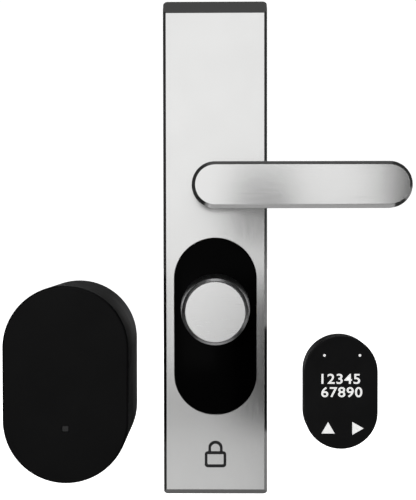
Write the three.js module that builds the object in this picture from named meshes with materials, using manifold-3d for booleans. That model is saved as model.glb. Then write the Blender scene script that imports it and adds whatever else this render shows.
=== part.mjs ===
// Smart lock set for a door: a long steel plate with a lever handle and a round knob, the battery
// motor unit that turns the lock cylinder, and the wireless touch keypad.
// All three units stand side by side on one door face, the plane Y = 0. Millimetres, +Z up, -Y away
// from the door. The origin is the middle of the long plate's back.
import * as THREE from "three";
import { mergeVertices } from "three/addons/utils/BufferGeometryUtils.js";
import Module from "manifold-3d";

const wasm = await Module();
wasm.setup();

// ---- Driving dimensions ----

const GAP = 0.3; // clearance between two pieces that touch

const PLATE = {
  width: 62.8,
  height: 300,
  thickness: 10,
  skin: 1.8,
  corner: 2.5,
  topSlope: 8.8, // the sloped top end: its height on the front, and how deep it runs
  topSlopeDepth: 7.5,
  bottomSlope: 3.8,
  sideChamfer: 1.8,
  leverHole: 11.5, // radius
};
const BACKING = { floor: -4, rim: 2.4, endRim: 8.4 }; // floor: the front of its web; rims: wall widths
const SPINDLE_Z = 36; // lever axis
const CYLINDER_Z = -36; // knob axis, 72 below the lever as on a standard lock case
const WINDOW = { width: 49.5, height: 106.8, z: -47.2, recess: 0.6, flange: 2.3 };
const SYMBOL = { z: -124.7, line: 1.6, width: 13, height: 16, bodyHeight: 9.6, bowWidth: 8.6, bowHeight: 12 };
const COVER_SCREWS = [
  [-20, 118],
  [20, 118],
  [-20, -132],
  [20, -132],
];
const FIXING_Z = [100, -115]; // bolt centres, 215 apart
const LIGHTENING_HOLES = [127, 74, -86];
const BOLT = { shank: 2.6, head: 5.2, back: 53.5, socket: 2.4 };
const POST = { bore: 2.9, outer: 5, flange: 7.6, back: 20 };

const LEVER = { length: 122.1, height: 25.9, front: -53.5, thick: 8, edge: 2, neck: 9.5, journal: 8 };
const LEVER_SHOULDER = -11.2; // where the neck steps down to its journal
const CLIP_GROOVE = { radius: 7, front: -6.6, back: -5.4 };
const SET_SCREW = { radius: 2.3, y: -20 };
const SPINDLE = { side: 8, front: -29.7, back: 58 };
const CASSETTE = { radius: 19, wall: 1.4, front: -7.9, back: -0.3 };
const LEVER_STOPS = [-12, 52]; // degrees from upright, either side of the cam peg's travel

const KNOB = { back: -11.8, front: -36.5, backRadius: 21, frontRadius: 19.2, capRadius: 17.5, capSeat: -33 };
const KNOB_BEVEL = { width: 1.5, depth: 0.9 };
const KNOB_WEB = -15; // the sleeve's inner web, which the hub pulls against
const HUB = { bore: 2.5, neck: 8, flange: 15.6, back: -11.5, front: -27.5 };
const KNOB_SCREW = { head: 3.8, shank: 2, seat: -21, back: -6 };
const CYLINDER = { barrel: 8.5, leg: 10, drop: 24.5, front: -5.3, back: 50, rotor: 6.2 };
const CAM = { from: 15, to: 25, reach: 14.8 };
const TAIL = { width: 9, thick: 3, length: 9.5 };

const MOTOR = { x: -83.3, z: -74.9, width: 70.3, height: 110.4, depth: 53.2, wall: 2.2, edge: 1.4 };
const BASE_FRONT = -4; // the motor unit's base plate reaches this far from the door
const DRIVE = { x: MOTOR.x, z: MOTOR.z + (MOTOR.height - MOTOR.width) / 2 };
const OUTPUT_STAGE = { module: 1.2, wheel: 36, pinion: 11 };
const INPUT_STAGE = { module: 0.9, wheel: 28, pinion: 10 };
const IDLER_DIRECTION = -0.987; // radians from +X towards +Z, seen from the drive axis
const PINION_DIRECTION = -2.214; // the same, from the idler axis to the motor axis
const CHASSIS = { front: -16, back: -14, cup: 9.8, cupDepth: 10 };
const BATTERY = { radius: 8.4, front: -48.8, back: -16.6, ring: 22, angles: [15, 65, 115, 165] };
const AXLE = 1.5; // radius of the idler gear's axle
const ADAPTER = { journal: 4, body: 9, flange: 12, slotWidth: 5, slotHeight: 14 };
const BOARD = { front: -50, back: -48.6 };
const LIGHT = { width: 3.6, height: 3.2, drop: 24.5 }; // drop: below the middle of the motor unit

const KEYPAD = { x: 75.5, z: -86.7, width: 44.2, height: 68.3, depth: 13, wall: 1.8, glass: 1.4 };
const CELL = { radius: 10, spacing: 24, front: -6.6, back: -3.4 };
const WALL_PLATE = 2.6; // thickness of the keypad's wall plate
const WALL_SCREW_OFFSET = 27;

// ---- Materials ----

function finish(color, metalness, roughness) {
  return new THREE.MeshStandardMaterial({ color, metalness, roughness });
}
const brushedSteel = finish(0xb9b9b8, 1, 0.35);
const darkSteel = finish(0x55565a, 1, 0.3);
const castZinc = finish(0x8c8d90, 1, 0.55);
const zincPlated = finish(0xb4b6ba, 1, 0.35);
const brass = finish(0xb59a5c, 1, 0.35);
const springSteel = finish(0x6f7276, 1, 0.35);
const blackGloss = finish(0x0a0a0a, 0, 0.15);
const blackSatin = finish(0x111111, 0, 0.5);
const blackRubber = finish(0x161616, 0, 0.9);
const whitePlastic = finish(0xe8e6df, 0, 0.45);
const greyPlastic = finish(0x3a3b3d, 0, 0.6);
const boardGreen = finish(0x1d5a35, 0, 0.5);
const symbolInk = finish(0x2e2e2e, 0, 0.6);
const batteryWrap = finish(0x2b4a7c, 0, 0.4);
const lightLens = finish(0x3a3a3a, 0, 0.3);

// ---- Solids ----

/** How many sides a circle of this radius is drawn with. */
function sides(radius) {
  if (radius < 3) return 8;
  if (radius < 6) return 12;
  if (radius < 12) return 18;
  return 24;
}

/** A three.js geometry as a closed manifold solid with its faces pointing out. */
function solid(geometry, matrix) {
  let g = geometry.index ? geometry.toNonIndexed() : geometry.clone();
  g.deleteAttribute("normal");
  g.deleteAttribute("uv");
  if (matrix) g.applyMatrix4(matrix);
  g = mergeVertices(g, 1e-4);
  const mesh = new wasm.Mesh({
    numProp: 3,
    vertProperties: g.attributes.position.array,
    triVerts: new Uint32Array(g.index.array),
  });
  const made = new wasm.Manifold(mesh);
  if (made.volume() >= 0) return made;
  for (let i = 0; i < mesh.triVerts.length; i += 3) {
    const kept = mesh.triVerts[i + 1];
    mesh.triVerts[i + 1] = mesh.triVerts[i + 2];
    mesh.triVerts[i + 2] = kept;
  }
  return new wasm.Manifold(mesh);
}

function geometryOf(made) {
  const m = made.getMesh();
  const g = new THREE.BufferGeometry();
  g.setAttribute("position", new THREE.BufferAttribute(new Float32Array(m.vertProperties), 3));
  g.setIndex(new THREE.BufferAttribute(new Uint32Array(m.triVerts), 1));
  return g;
}

const join = (...solids) => solids.reduce((a, b) => a.add(b));
const cut = (from, ...solids) => solids.reduce((a, b) => a.subtract(b), from);

/** Extrudes a shape drawn as (X, Z) through the door's normal, from front to back along Y. */
function slab(shape, front, back, curveSegments = 6) {
  const g = new THREE.ExtrudeGeometry(shape, { depth: back - front, bevelEnabled: false, curveSegments });
  const turn = new THREE.Matrix4().makeRotationX(Math.PI / 2);
  return solid(g, turn.premultiply(new THREE.Matrix4().makeTranslation(0, back, 0)));
}

/** A slab whose front edge, and back edge if both is true, is chamfered. */
function softSlab(shape, front, back, edge, both = false, curveSegments = 6) {
  const g = new THREE.ExtrudeGeometry(shape, {
    depth: back - front - 2 * edge,
    bevelThickness: edge,
    bevelSize: edge,
    bevelOffset: -edge,
    bevelSegments: 1,
    curveSegments,
  });
  const turn = new THREE.Matrix4().makeRotationX(Math.PI / 2);
  const bevelled = solid(g, turn.premultiply(new THREE.Matrix4().makeTranslation(0, back - edge, 0)));
  return both ? bevelled : bevelled.add(slab(shape, front + edge, back, curveSegments));
}

/** Extrudes a shape drawn as (Y, Z) along X. */
function barAlongX(shape, from, to) {
  const g = new THREE.ExtrudeGeometry(shape, { depth: to - from, bevelEnabled: false });
  const axes = new THREE.Matrix4().makeBasis(
    new THREE.Vector3(0, 1, 0),
    new THREE.Vector3(0, 0, 1),
    new THREE.Vector3(1, 0, 0),
  );
  return solid(g, axes.premultiply(new THREE.Matrix4().makeTranslation(from, 0, 0)));
}

/** Extrudes a shape drawn as (X, Y) along Z. */
function barAlongZ(shape, from, to, curveSegments = 4) {
  const g = new THREE.ExtrudeGeometry(shape, { depth: to - from, bevelEnabled: false, curveSegments });
  return solid(g, new THREE.Matrix4().makeTranslation(0, 0, from));
}

/** Turns a profile of [radius, Y] points about the Y axis through (x, z). */
function turned(profile, x, z) {
  const points = profile.map(([r, y]) => new THREE.Vector2(r, y));
  const around = sides(Math.max(...profile.map(([r]) => r)));
  return solid(new THREE.LatheGeometry(points, around), new THREE.Matrix4().makeTranslation(x, 0, z));
}

/** A ring's profile closes on itself. */
const closed = (profile) => [...profile, profile[0]];

function rod(radius, x, z, front, back) {
  const profile = [
    [0, front],
    [radius, front],
    [radius, back],
    [0, back],
  ];
  return turned(profile, x, z);
}

function tube(inner, outer, x, z, front, back) {
  const profile = [
    [inner, front],
    [outer, front],
    [outer, back],
    [inner, back],
  ];
  return turned(closed(profile), x, z);
}

/** A six-sided bar, as for the socket of a screw. */
function hexBar(radius, x, z, front, back) {
  const corners = [0, 1, 2, 3, 4, 5].map((i) => {
    const a = (i * Math.PI) / 3;
    return [x + radius * Math.cos(a), z + radius * Math.sin(a)];
  });
  return slab(polygon(corners), front, back);
}

// ---- Outlines ----

function polygon(points) {
  return new THREE.Shape(points.map(([a, b]) => new THREE.Vector2(a, b)));
}

/** An oval with straight long sides and half-round ends, longer along X or along Z. */
function stadium(width, height, x = 0, z = 0) {
  const r = Math.min(width, height) / 2;
  const dx = width / 2 - r;
  const dz = height / 2 - r;
  const s = new THREE.Shape();
  if (dz > 0) {
    s.absarc(x, z + dz, r, 0, Math.PI, false);
    s.absarc(x, z - dz, r, Math.PI, 2 * Math.PI, false);
  } else {
    s.absarc(x + dx, z, r, -Math.PI / 2, Math.PI / 2, false);
    s.absarc(x - dx, z, r, Math.PI / 2, 1.5 * Math.PI, false);
  }
  s.closePath();
  return s;
}

function roundedBox(width, height, radius, x = 0, z = 0) {
  const dx = width / 2 - radius;
  const dz = height / 2 - radius;
  const s = new THREE.Shape();
  s.absarc(x + dx, z - dz, radius, -Math.PI / 2, 0, false);
  s.absarc(x + dx, z + dz, radius, 0, Math.PI / 2, false);
  s.absarc(x - dx, z + dz, radius, Math.PI / 2, Math.PI, false);
  s.absarc(x - dx, z - dz, radius, Math.PI, 1.5 * Math.PI, false);
  s.closePath();
  return s;
}

function box(width, height, x = 0, z = 0) {
  return polygon([
    [x - width / 2, z - height / 2],
    [x + width / 2, z - height / 2],
    [x + width / 2, z + height / 2],
    [x - width / 2, z + height / 2],
  ]);
}

/** A spur gear's outline, one tooth pointing at the angle phase; the teeth leave backlash. */
function gearOutline(teeth, module, phase, x, z) {
  const pitch = (teeth * module) / 2;
  const tip = pitch + 0.8 * module;
  const root = pitch - 1.05 * module;
  const step = (2 * Math.PI) / teeth;
  const rootHalf = 0.27 * step;
  const tipHalf = 0.11 * step;
  const points = [];
  for (let i = 0; i < teeth; i += 1) {
    const at = phase + i * step;
    for (const [r, turn] of [
      [root, -rootHalf],
      [tip, -tipHalf],
      [tip, tipHalf],
      [root, rootHalf],
    ]) {
      points.push([x + r * Math.cos(at + turn), z + r * Math.sin(at + turn)]);
    }
  }
  return polygon(points);
}

// ---- Scene graph ----

const lockSet = new THREE.Group();

function part(name, made, material) {
  const mesh = new THREE.Mesh(geometryOf(made), material);
  mesh.name = name;
  lockSet.add(mesh);
}

// ---- Long plate ----

/** The plate's outer body shrunk by inset on every side but the back. */
function plateBody(inset, back = 0) {
  const side = PLATE.width / 2 - inset;
  const end = PLATE.height / 2 - inset;
  const front = inset - PLATE.thickness;
  const lengthwise = polygon([
    [back, end],
    [front + PLATE.topSlopeDepth, end],
    [front, end - PLATE.topSlope],
    [front, PLATE.bottomSlope - end],
    [front + PLATE.bottomSlope, -end],
    [back, -end],
  ]);
  const crosswise = polygon([
    [side, back],
    [side, front + PLATE.sideChamfer],
    [side - PLATE.sideChamfer, front],
    [PLATE.sideChamfer - side, front],
    [-side, front + PLATE.sideChamfer],
    [-side, back],
  ]);
  const corner = Math.max(PLATE.corner - inset, 0.4);
  return slab(roundedBox(2 * side, 2 * end, corner), front, back, 2)
    .intersect(barAlongX(lengthwise, -side, side))
    .intersect(barAlongZ(crosswise, -end, end));
}

/** A padlock sign drawn in one line of even width, which grow makes fatter on both sides. */
function lockSign(front, back, grow) {
  const { line, width, bodyHeight, bowWidth, bowHeight, height } = SYMBOL;
  const bodyZ = SYMBOL.z + (bodyHeight - height) / 2;
  const bowZ = SYMBOL.z + (height - bowHeight) / 2;
  const oval = (inset) => stadium(bowWidth - 2 * inset, bowHeight - 2 * inset, 0, bowZ);
  const block = (inset) => roundedBox(width - 2 * inset, bodyHeight - 2 * inset, 2 - inset, 0, bodyZ);
  const hollow = slab(block(line + grow), front - 1, back + 1, 2);
  const bow = slab(oval(-grow), front, back, 5).subtract(slab(oval(line + grow), front - 1, back + 1, 5));
  return bow.add(slab(block(-grow), front, back, 2)).subtract(hollow);
}

function frontPlate() {
  const { skin, thickness } = PLATE;
  const shell = cut(
    plateBody(0),
    plateBody(skin, 1),
    slab(stadium(WINDOW.width, WINDOW.height, 0, WINDOW.z), -thickness - 1, 0),
    rod(PLATE.leverHole, 0, SPINDLE_Z, -thickness - 1, 0),
    lockSign(-thickness - 1, 0.8 - thickness, GAP),
  );
  const bosses = COVER_SCREWS.map(([x, z]) => rod(3.5, x, z, skin - thickness - 0.2, BACKING.floor - GAP));
  const pilots = COVER_SCREWS.map(([x, z]) => rod(1.5, x, z, 0.2 + skin - thickness, 1));
  return cut(join(shell, ...bosses), ...pilots);
}

/** The profile of a lock cylinder: a barrel with a leg below, grown by grow all round. */
function cylinderProfile(front, back, grow = 0) {
  const { barrel, leg, drop } = CYLINDER;
  const foot = CYLINDER_Z - drop + leg / 2;
  const legShape = stadium(leg + 2 * grow, drop + leg / 2 + 2 * grow, 0, (foot + CYLINDER_Z) / 2);
  return rod(barrel + grow, 0, CYLINDER_Z, front, back).add(slab(legShape, front, back, 6));
}

function backingPlate() {
  const inset = PLATE.skin + GAP;
  const { floor, rim, endRim } = BACKING;
  const body = plateBody(inset);
  const hollow = slab(
    roundedBox(PLATE.width - 2 * (inset + rim), PLATE.height - 2 * (inset + endRim), 3),
    -PLATE.thickness,
    floor,
    2,
  );
  const openings = [
    rod(CASSETTE.radius + 0.5, 0, SPINDLE_Z, -PLATE.thickness, 1),
    cylinderProfile(-PLATE.thickness, 1, 0.7),
    ...LIGHTENING_HOLES.map((z) => slab(stadium(28, 16, 0, z), -PLATE.thickness, 1, 3)),
    ...FIXING_Z.map((z) => rod(POST.outer + 0.4, 0, z, -PLATE.thickness, 1)),
    ...COVER_SCREWS.map(([x, z]) => rod(1.6, x, z, -PLATE.thickness, 1)),
    ...COVER_SCREWS.map(([x, z]) => rod(3, x, z, -2.6, 1)),
  ];
  return cut(body, hollow, ...openings);
}

function windowPanel() {
  const { width, height, z, recess, flange } = WINDOW;
  const face = recess - PLATE.thickness;
  const ledge = GAP + PLATE.skin - PLATE.thickness;
  const inWindow = slab(stadium(width - 2 * GAP, height - 2 * GAP, 0, z), face, ledge + flange);
  const behindPlate = slab(stadium(width + 2.5, height + 2.5, 0, z), ledge, ledge + flange);
  return cut(join(inWindow, behindPlate), rod(CYLINDER.rotor + 1, 0, CYLINDER_Z, face - 1, 0));
}

function fixingPost(z) {
  const { bore, outer, flange, back } = POST;
  const seat = BACKING.floor - GAP;
  const profile = closed([
    [bore, seat - 2.1],
    [flange, seat - 2.1],
    [flange, seat],
    [outer, seat],
    [outer, back],
    [bore, back],
  ]);
  return turned(profile, 0, z);
}

function throughBolt(z) {
  const { shank, head, back, socket } = BOLT;
  const profile = [
    [0, 4],
    [shank - 0.4, 4],
    [shank, 4.6],
    [shank, back - 3.5],
    [head, back - 3.5],
    [head, back - 0.7],
    [head - 0.6, back],
    [0, back],
  ];
  return turned(profile, 0, z).subtract(hexBar(socket, 0, z, back - 2.3, back + 1));
}

function coverScrew([x, z]) {
  const profile = [
    [0, -7.6],
    [1.2, -7.6],
    [1.2, -2.3],
    [2.6, -2.3],
    [2.6, -0.5],
    [0, -0.5],
  ];
  return turned(profile, x, z).subtract(hexBar(1.2, x, z, -1.5, 0));
}

part("front_plate", frontPlate(), brushedSteel);
part("backing_plate", backingPlate(), castZinc);
part("window_panel", windowPanel(), blackGloss);
part("lock_symbol", lockSign(-PLATE.thickness, 0.5 - PLATE.thickness, 0), symbolInk);
part("fixing_post_upper", fixingPost(FIXING_Z[0]), zincPlated);
part("fixing_post_lower", fixingPost(FIXING_Z[1]), zincPlated);
part("through_bolt_upper", throughBolt(FIXING_Z[0]), zincPlated);
part("through_bolt_lower", throughBolt(FIXING_Z[1]), zincPlated);
COVER_SCREWS.forEach((at, i) => part(`cover_screw_${i + 1}`, coverScrew(at), zincPlated));

// ---- Lever handle ----

/** A point at a radius and an angle from upright, turned towards +X, about the lever axis. */
function aroundSpindle(radius, degrees) {
  const a = (degrees * Math.PI) / 180;
  return [radius * Math.sin(a), SPINDLE_Z + radius * Math.cos(a)];
}

/** The square socket that the spindle slides into. */
function squareHole(front, back) {
  const side = SPINDLE.side + 2 * GAP;
  return slab(box(side, side, 0, SPINDLE_Z), front, back);
}

function leverNeck() {
  const { neck, journal, front, thick } = LEVER;
  const profile = [
    [0, front + thick + GAP],
    [neck, front + thick + GAP],
    [neck, LEVER_SHOULDER],
    [journal, LEVER_SHOULDER],
    [journal, CLIP_GROOVE.front],
    [CLIP_GROOVE.radius, CLIP_GROOVE.front],
    [CLIP_GROOVE.radius, CLIP_GROOVE.back],
    [journal, CLIP_GROOVE.back],
    [journal, CLIP_GROOVE.back + 2],
    [0, CLIP_GROOVE.back + 2],
  ];
  const screwHole = new THREE.Shape().absarc(0, SET_SCREW.y, SET_SCREW.radius + GAP, 0, 2 * Math.PI);
  return cut(
    turned(profile, 0, SPINDLE_Z),
    squareHole(SPINDLE.front - GAP, 0),
    barAlongZ(screwHole, SPINDLE_Z - neck - 1.5, SPINDLE_Z - SPINDLE.side / 2),
  );
}

function setScrew() {
  const { radius, y } = SET_SCREW;
  const tip = SPINDLE_Z - SPINDLE.side / 2 - GAP;
  const body = barAlongZ(new THREE.Shape().absarc(0, y, radius, 0, 2 * Math.PI), tip - 5, tip, 6);
  const key = new THREE.Shape().absarc(0, y, 1.3, 0, 2 * Math.PI);
  return body.subtract(barAlongZ(key, tip - 6, tip - 3, 3));
}

function leverBush() {
  const inner = LEVER.journal + GAP;
  const outer = PLATE.leverHole - GAP;
  const front = LEVER_SHOULDER + GAP;
  const profile = closed([
    [inner, front],
    [outer - 0.4, front],
    [outer, front + 0.4],
    [outer, CASSETTE.front - GAP],
    [inner, CASSETTE.front - GAP],
  ]);
  return turned(profile, 0, SPINDLE_Z);
}

function springHousing() {
  const { radius, wall, front, back } = CASSETTE;
  const bore = LEVER.journal + 0.5;
  const profile = closed([
    [bore, front],
    [radius, front],
    [radius, back],
    [radius - wall, back],
    [radius - wall, front + 1],
    [bore, front + 1],
  ]);
  const cup = turned(profile, 0, SPINDLE_Z);
  const stops = LEVER_STOPS.map((a) => rod(1.5, ...aroundSpindle(16.4, a), front + 0.5, -2.9));
  const inside = rod(radius - 0.2, 0, SPINDLE_Z, front, back);
  return cup.add(join(...stops).intersect(inside));
}

function springCam() {
  const disc = rod(16, 0, SPINDLE_Z, -2.3, -0.8);
  const peg = rod(1.1, ...aroundSpindle(14.6, 0), -6, -2);
  return disc.add(peg).subtract(squareHole(-3, 0));
}

/** A torsion spring: one and a quarter turns of wire, with a leg bent out at each end. */
function returnSpring() {
  const wire = 0.65;
  const radius = 12;
  const turns = 1.25;
  const steps = 20;
  const front = -6.1;
  const rise = 2.3; // how far the wire climbs towards the door
  const legEnd = 15.4; // radius that both legs reach
  const points = [];
  for (let i = 0; i <= steps; i += 1) {
    const share = i / steps;
    const [x, z] = aroundSpindle(radius, 20 + 360 * turns * share);
    points.push(new THREE.Vector3(x, front + rise * share, z));
  }
  const [inX, inZ] = aroundSpindle(legEnd, 24);
  const [outX, outZ] = aroundSpindle(legEnd, 106);
  points.unshift(new THREE.Vector3(inX, front, inZ));
  points.push(new THREE.Vector3(outX, front + rise, outZ));
  const section = new THREE.Shape().absarc(0, 0, wire, 0, 2 * Math.PI);
  const path = new THREE.CatmullRomCurve3(points);
  const options = { steps: 30, extrudePath: path, bevelEnabled: false, curveSegments: 3 };
  return solid(new THREE.ExtrudeGeometry(section, options));
}

/** An open retaining ring that snaps into the neck's groove. */
function circlip() {
  const { radius, front, back } = CLIP_GROOVE;
  const ring = tube(radius + GAP, 9.4, 0, SPINDLE_Z, front + 0.2, back - 0.2);
  return ring.subtract(slab(box(5, 6, 0, SPINDLE_Z - 9), front, back));
}

const gripShape = stadium(LEVER.length, LEVER.height, (LEVER.length - LEVER.height) / 2, SPINDLE_Z);
const grip = softSlab(gripShape, LEVER.front, LEVER.front + LEVER.thick, LEVER.edge, true);
part("lever_grip", grip, brushedSteel);
part("lever_neck", leverNeck(), brushedSteel);
part("lever_set_screw", setScrew(), darkSteel);
part("spindle", slab(box(SPINDLE.side, SPINDLE.side, 0, SPINDLE_Z), SPINDLE.front, SPINDLE.back), zincPlated);
part("lever_circlip", circlip(), springSteel);
part("spring_cam", springCam(), castZinc);
part("lever_bush", leverBush(), blackSatin);
part("spring_housing", springHousing(), castZinc);
part("return_spring", returnSpring(), springSteel);

// ---- Knob and lock cylinder ----

function knobSleeve() {
  const { back, front, backRadius, frontRadius, capRadius, capSeat } = KNOB;
  const { width, depth } = KNOB_BEVEL;
  const bore = HUB.neck + GAP;
  const profile = closed([
    [bore, back],
    [backRadius - 0.4, back],
    [backRadius, back - 0.4],
    [frontRadius, front + depth],
    [frontRadius - width, front],
    [frontRadius - width, front + 0.2],
    [capRadius + GAP, front + 0.4],
    [capRadius + GAP, capSeat],
    [16.2, capSeat],
    [16.2, KNOB_WEB],
    [bore, KNOB_WEB],
  ]);
  return turned(profile, 0, CYLINDER_Z);
}

function knobCap() {
  const { front, capRadius, capSeat } = KNOB;
  const profile = [
    [0, front - 0.4],
    [capRadius - 0.3, front - 0.4],
    [capRadius, front - 0.1],
    [capRadius, capSeat - GAP],
    [5, capSeat - GAP],
    [5, HUB.front - 0.5],
    [0, HUB.front - 0.5],
  ];
  return turned(profile, 0, CYLINDER_Z);
}

function knobHub() {
  const { bore, neck, flange, back, front } = HUB;
  const profile = closed([
    [bore, back],
    [neck, back],
    [neck, KNOB_WEB - GAP],
    [flange, KNOB_WEB - GAP],
    [flange, KNOB_WEB - 3.3],
    [neck, KNOB_WEB - 3.3],
    [neck, front],
    [KNOB_SCREW.head + 0.4, front],
    [KNOB_SCREW.head + 0.4, KNOB_SCREW.seat + GAP],
    [bore, KNOB_SCREW.seat + GAP],
  ]);
  return turned(profile, 0, CYLINDER_Z);
}

function knobScrew() {
  const { head, shank, seat, back } = KNOB_SCREW;
  const front = seat - 3.5;
  const profile = [
    [0, front],
    [head, front],
    [head, seat],
    [shank, seat],
    [shank, back],
    [0, back],
  ];
  return turned(profile, 0, CYLINDER_Z).subtract(hexBar(1.8, 0, CYLINDER_Z, front - 1, front + 1.9));
}

function cylinderRotor() {
  const { rotor, back } = CYLINDER;
  const front = HUB.back + GAP;
  const plug = rod(rotor, 0, CYLINDER_Z, front, back + 0.6);
  const blade = slab(box(TAIL.width, TAIL.thick, 0, CYLINDER_Z), back, back + TAIL.length);
  return cut(plug.add(blade), rod(KNOB_SCREW.shank + GAP, 0, CYLINDER_Z, front - 1, KNOB_SCREW.back + 1));
}

function cylinderBody() {
  const { front, back, rotor, drop } = CYLINDER;
  const screwY = (CAM.from + CAM.to) / 2;
  const screwHole = new THREE.Shape().absarc(screwY, CYLINDER_Z - drop + 4.2, 2.5, 0, 2 * Math.PI);
  return cut(
    cylinderProfile(front, back),
    rod(rotor + GAP, 0, CYLINDER_Z, front - 1, back + 1),
    rod(CAM.reach + 1, 0, CYLINDER_Z, CAM.from, CAM.to),
    barAlongX(screwHole, -10, 10),
  );
}

function cylinderCam() {
  const ring = tube(CYLINDER.rotor + GAP, 8.3, 0, CYLINDER_Z, CAM.from + GAP, CAM.to - GAP);
  const start = 3; // the arm begins under the ring
  const lobe = stadium(7, CAM.reach - start, 0, CYLINDER_Z - (CAM.reach + start) / 2);
  const arm = slab(lobe, CAM.from + GAP, CAM.to - GAP, 4);
  const bore = rod(CYLINDER.rotor + GAP, 0, CYLINDER_Z, CAM.from - 1, CAM.to + 1);
  return ring.add(arm).subtract(bore);
}

part("knob_sleeve", knobSleeve(), darkSteel);
part("knob_cap", knobCap(), brushedSteel);
part("knob_hub", knobHub(), castZinc);
part("knob_screw", knobScrew(), zincPlated);
part("cylinder_rotor", cylinderRotor(), brass);
part("cylinder_body", cylinderBody(), zincPlated);
part("cylinder_cam", cylinderCam(), castZinc);

// ---- Motor unit ----

const motorOval = (inset) =>
  stadium(MOTOR.width - 2 * inset, MOTOR.height - 2 * inset, MOTOR.x, MOTOR.z);
const centreDistance = ({ module, wheel, pinion }) => (module * (wheel + pinion)) / 2;
const step = (from, distance, angle) => ({
  x: from.x + distance * Math.cos(angle),
  z: from.z + distance * Math.sin(angle),
});
const idlerAxis = step(DRIVE, centreDistance(OUTPUT_STAGE), IDLER_DIRECTION);
const motorAxis = step(idlerAxis, centreDistance(INPUT_STAGE), PINION_DIRECTION);
const light = { x: MOTOR.x, z: MOTOR.z - LIGHT.drop };

/** Where the four cells stand, in an arc over the drive axis. */
const batterySeats = BATTERY.angles.map((a) => step(DRIVE, BATTERY.ring, (a * Math.PI) / 180));
const standoffs = [
  [22, 38],
  [-22, 38],
  [25, -30],
  [-25, -30],
].map(([dx, dz]) => [MOTOR.x + dx, MOTOR.z + dz]);
const boardPosts = [
  [-21, -33],
  [23, -31],
  [0, -45],
].map(([dx, dz]) => [MOTOR.x + dx, MOTOR.z + dz]);
const mountScrews = [
  [0, 44],
  [-14, -42],
  [14, -42],
].map(([dx, dz]) => [MOTOR.x + dx, MOTOR.z + dz]);

function motorCover() {
  const { depth, wall, edge } = MOTOR;
  const outer = softSlab(motorOval(0), -depth, -0.8, edge);
  const inner = slab(motorOval(wall), wall - depth, 1);
  const opening = roundedBox(LIGHT.width + 2 * GAP, LIGHT.height + 2 * GAP, 0.8, light.x, light.z);
  const lightHole = slab(opening, -depth - 1, 2 * wall - depth, 1);
  return cut(outer, inner, lightHole);
}

function motorBase() {
  const plate = slab(motorOval(MOTOR.wall + GAP), BASE_FRONT, 0);
  const countersink = [
    [0, BASE_FRONT - 1],
    [4.6, BASE_FRONT - 1],
    [4.6, BASE_FRONT + 0.1],
    [2.4, BASE_FRONT + 2.5],
    [2.4, 1],
    [0, 1],
  ];
  const holes = mountScrews.map(([x, z]) => turned(countersink, x, z));
  const axleSeat = rod(AXLE + GAP, idlerAxis.x, idlerAxis.z, BASE_FRONT - 1, -1.5);
  return cut(plate, rod(13, DRIVE.x, DRIVE.z, BASE_FRONT - 1, 1), axleSeat, ...holes);
}

function mountScrew([x, z]) {
  const head = BASE_FRONT + 0.1;
  const profile = [
    [0, head],
    [4.1, head],
    [2, head + 2.3],
    [2, 20],
    [0.4, 24],
    [0, 24],
  ];
  return turned(profile, x, z).subtract(hexBar(1.6, x, z, head - 1, head + 1.5));
}

/** The wheel on the drive axis; its tooth points at the idler. */
function driveGear() {
  const { module, wheel } = OUTPUT_STAGE;
  const teeth = slab(gearOutline(wheel, module, IDLER_DIRECTION, DRIVE.x, DRIVE.z), -11, -5.5);
  return teeth.subtract(rod(ADAPTER.body + GAP, DRIVE.x, DRIVE.z, -12, 0));
}

/** The hub that grips the lock cylinder's tail blade, with its journal in the chassis. */
function driveAdapter() {
  const { journal, body, flange, slotWidth, slotHeight } = ADAPTER;
  const back = -0.8;
  const profile = [
    [0, CHASSIS.front + GAP],
    [journal, CHASSIS.front + GAP],
    [journal, -11.8],
    [body, -11.8],
    [body, -4.8],
    [flange, -4.6],
    [flange, back],
    [0, back],
  ];
  const slot = slab(roundedBox(slotWidth, slotHeight, 1, DRIVE.x, DRIVE.z), -10, 0, 2);
  return turned(profile, DRIVE.x, DRIVE.z).subtract(slot);
}

/** Two gears on one sleeve: the large one takes the motor's pinion, the small one drives the wheel. */
function idlerGear() {
  const half = Math.PI / OUTPUT_STAGE.pinion;
  const { x, z } = idlerAxis;
  const small = gearOutline(OUTPUT_STAGE.pinion, OUTPUT_STAGE.module, IDLER_DIRECTION + Math.PI + half, x, z);
  const large = gearOutline(INPUT_STAGE.wheel, INPUT_STAGE.module, PINION_DIRECTION, x, z);
  const sleeve = join(slab(small, -11.4, -5.5), slab(large, -13.4, -11.3));
  return sleeve.subtract(rod(AXLE + GAP, x, z, -15, 0));
}

function motorPinion() {
  const half = Math.PI / INPUT_STAGE.pinion;
  const { x, z } = motorAxis;
  const teeth = gearOutline(INPUT_STAGE.pinion, INPUT_STAGE.module, PINION_DIRECTION + Math.PI + half, x, z);
  return slab(teeth, -13.6, -11).add(rod(1, x, z, -20, -13));
}

function driveMotor() {
  const profile = [
    [0, -47.5],
    [3, -47.5],
    [3, -46.3],
    [10.4, -46.3],
    [11, -45.7],
    [11, -28],
    [10.2, -28],
    [10.2, CHASSIS.front - GAP],
    [3.5, CHASSIS.front - GAP],
    [3.5, -14.4],
    [0, -14.4],
  ];
  const bore = rod(1 + GAP, motorAxis.x, motorAxis.z, -20.5, -14);
  return turned(profile, motorAxis.x, motorAxis.z).subtract(bore);
}

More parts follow.
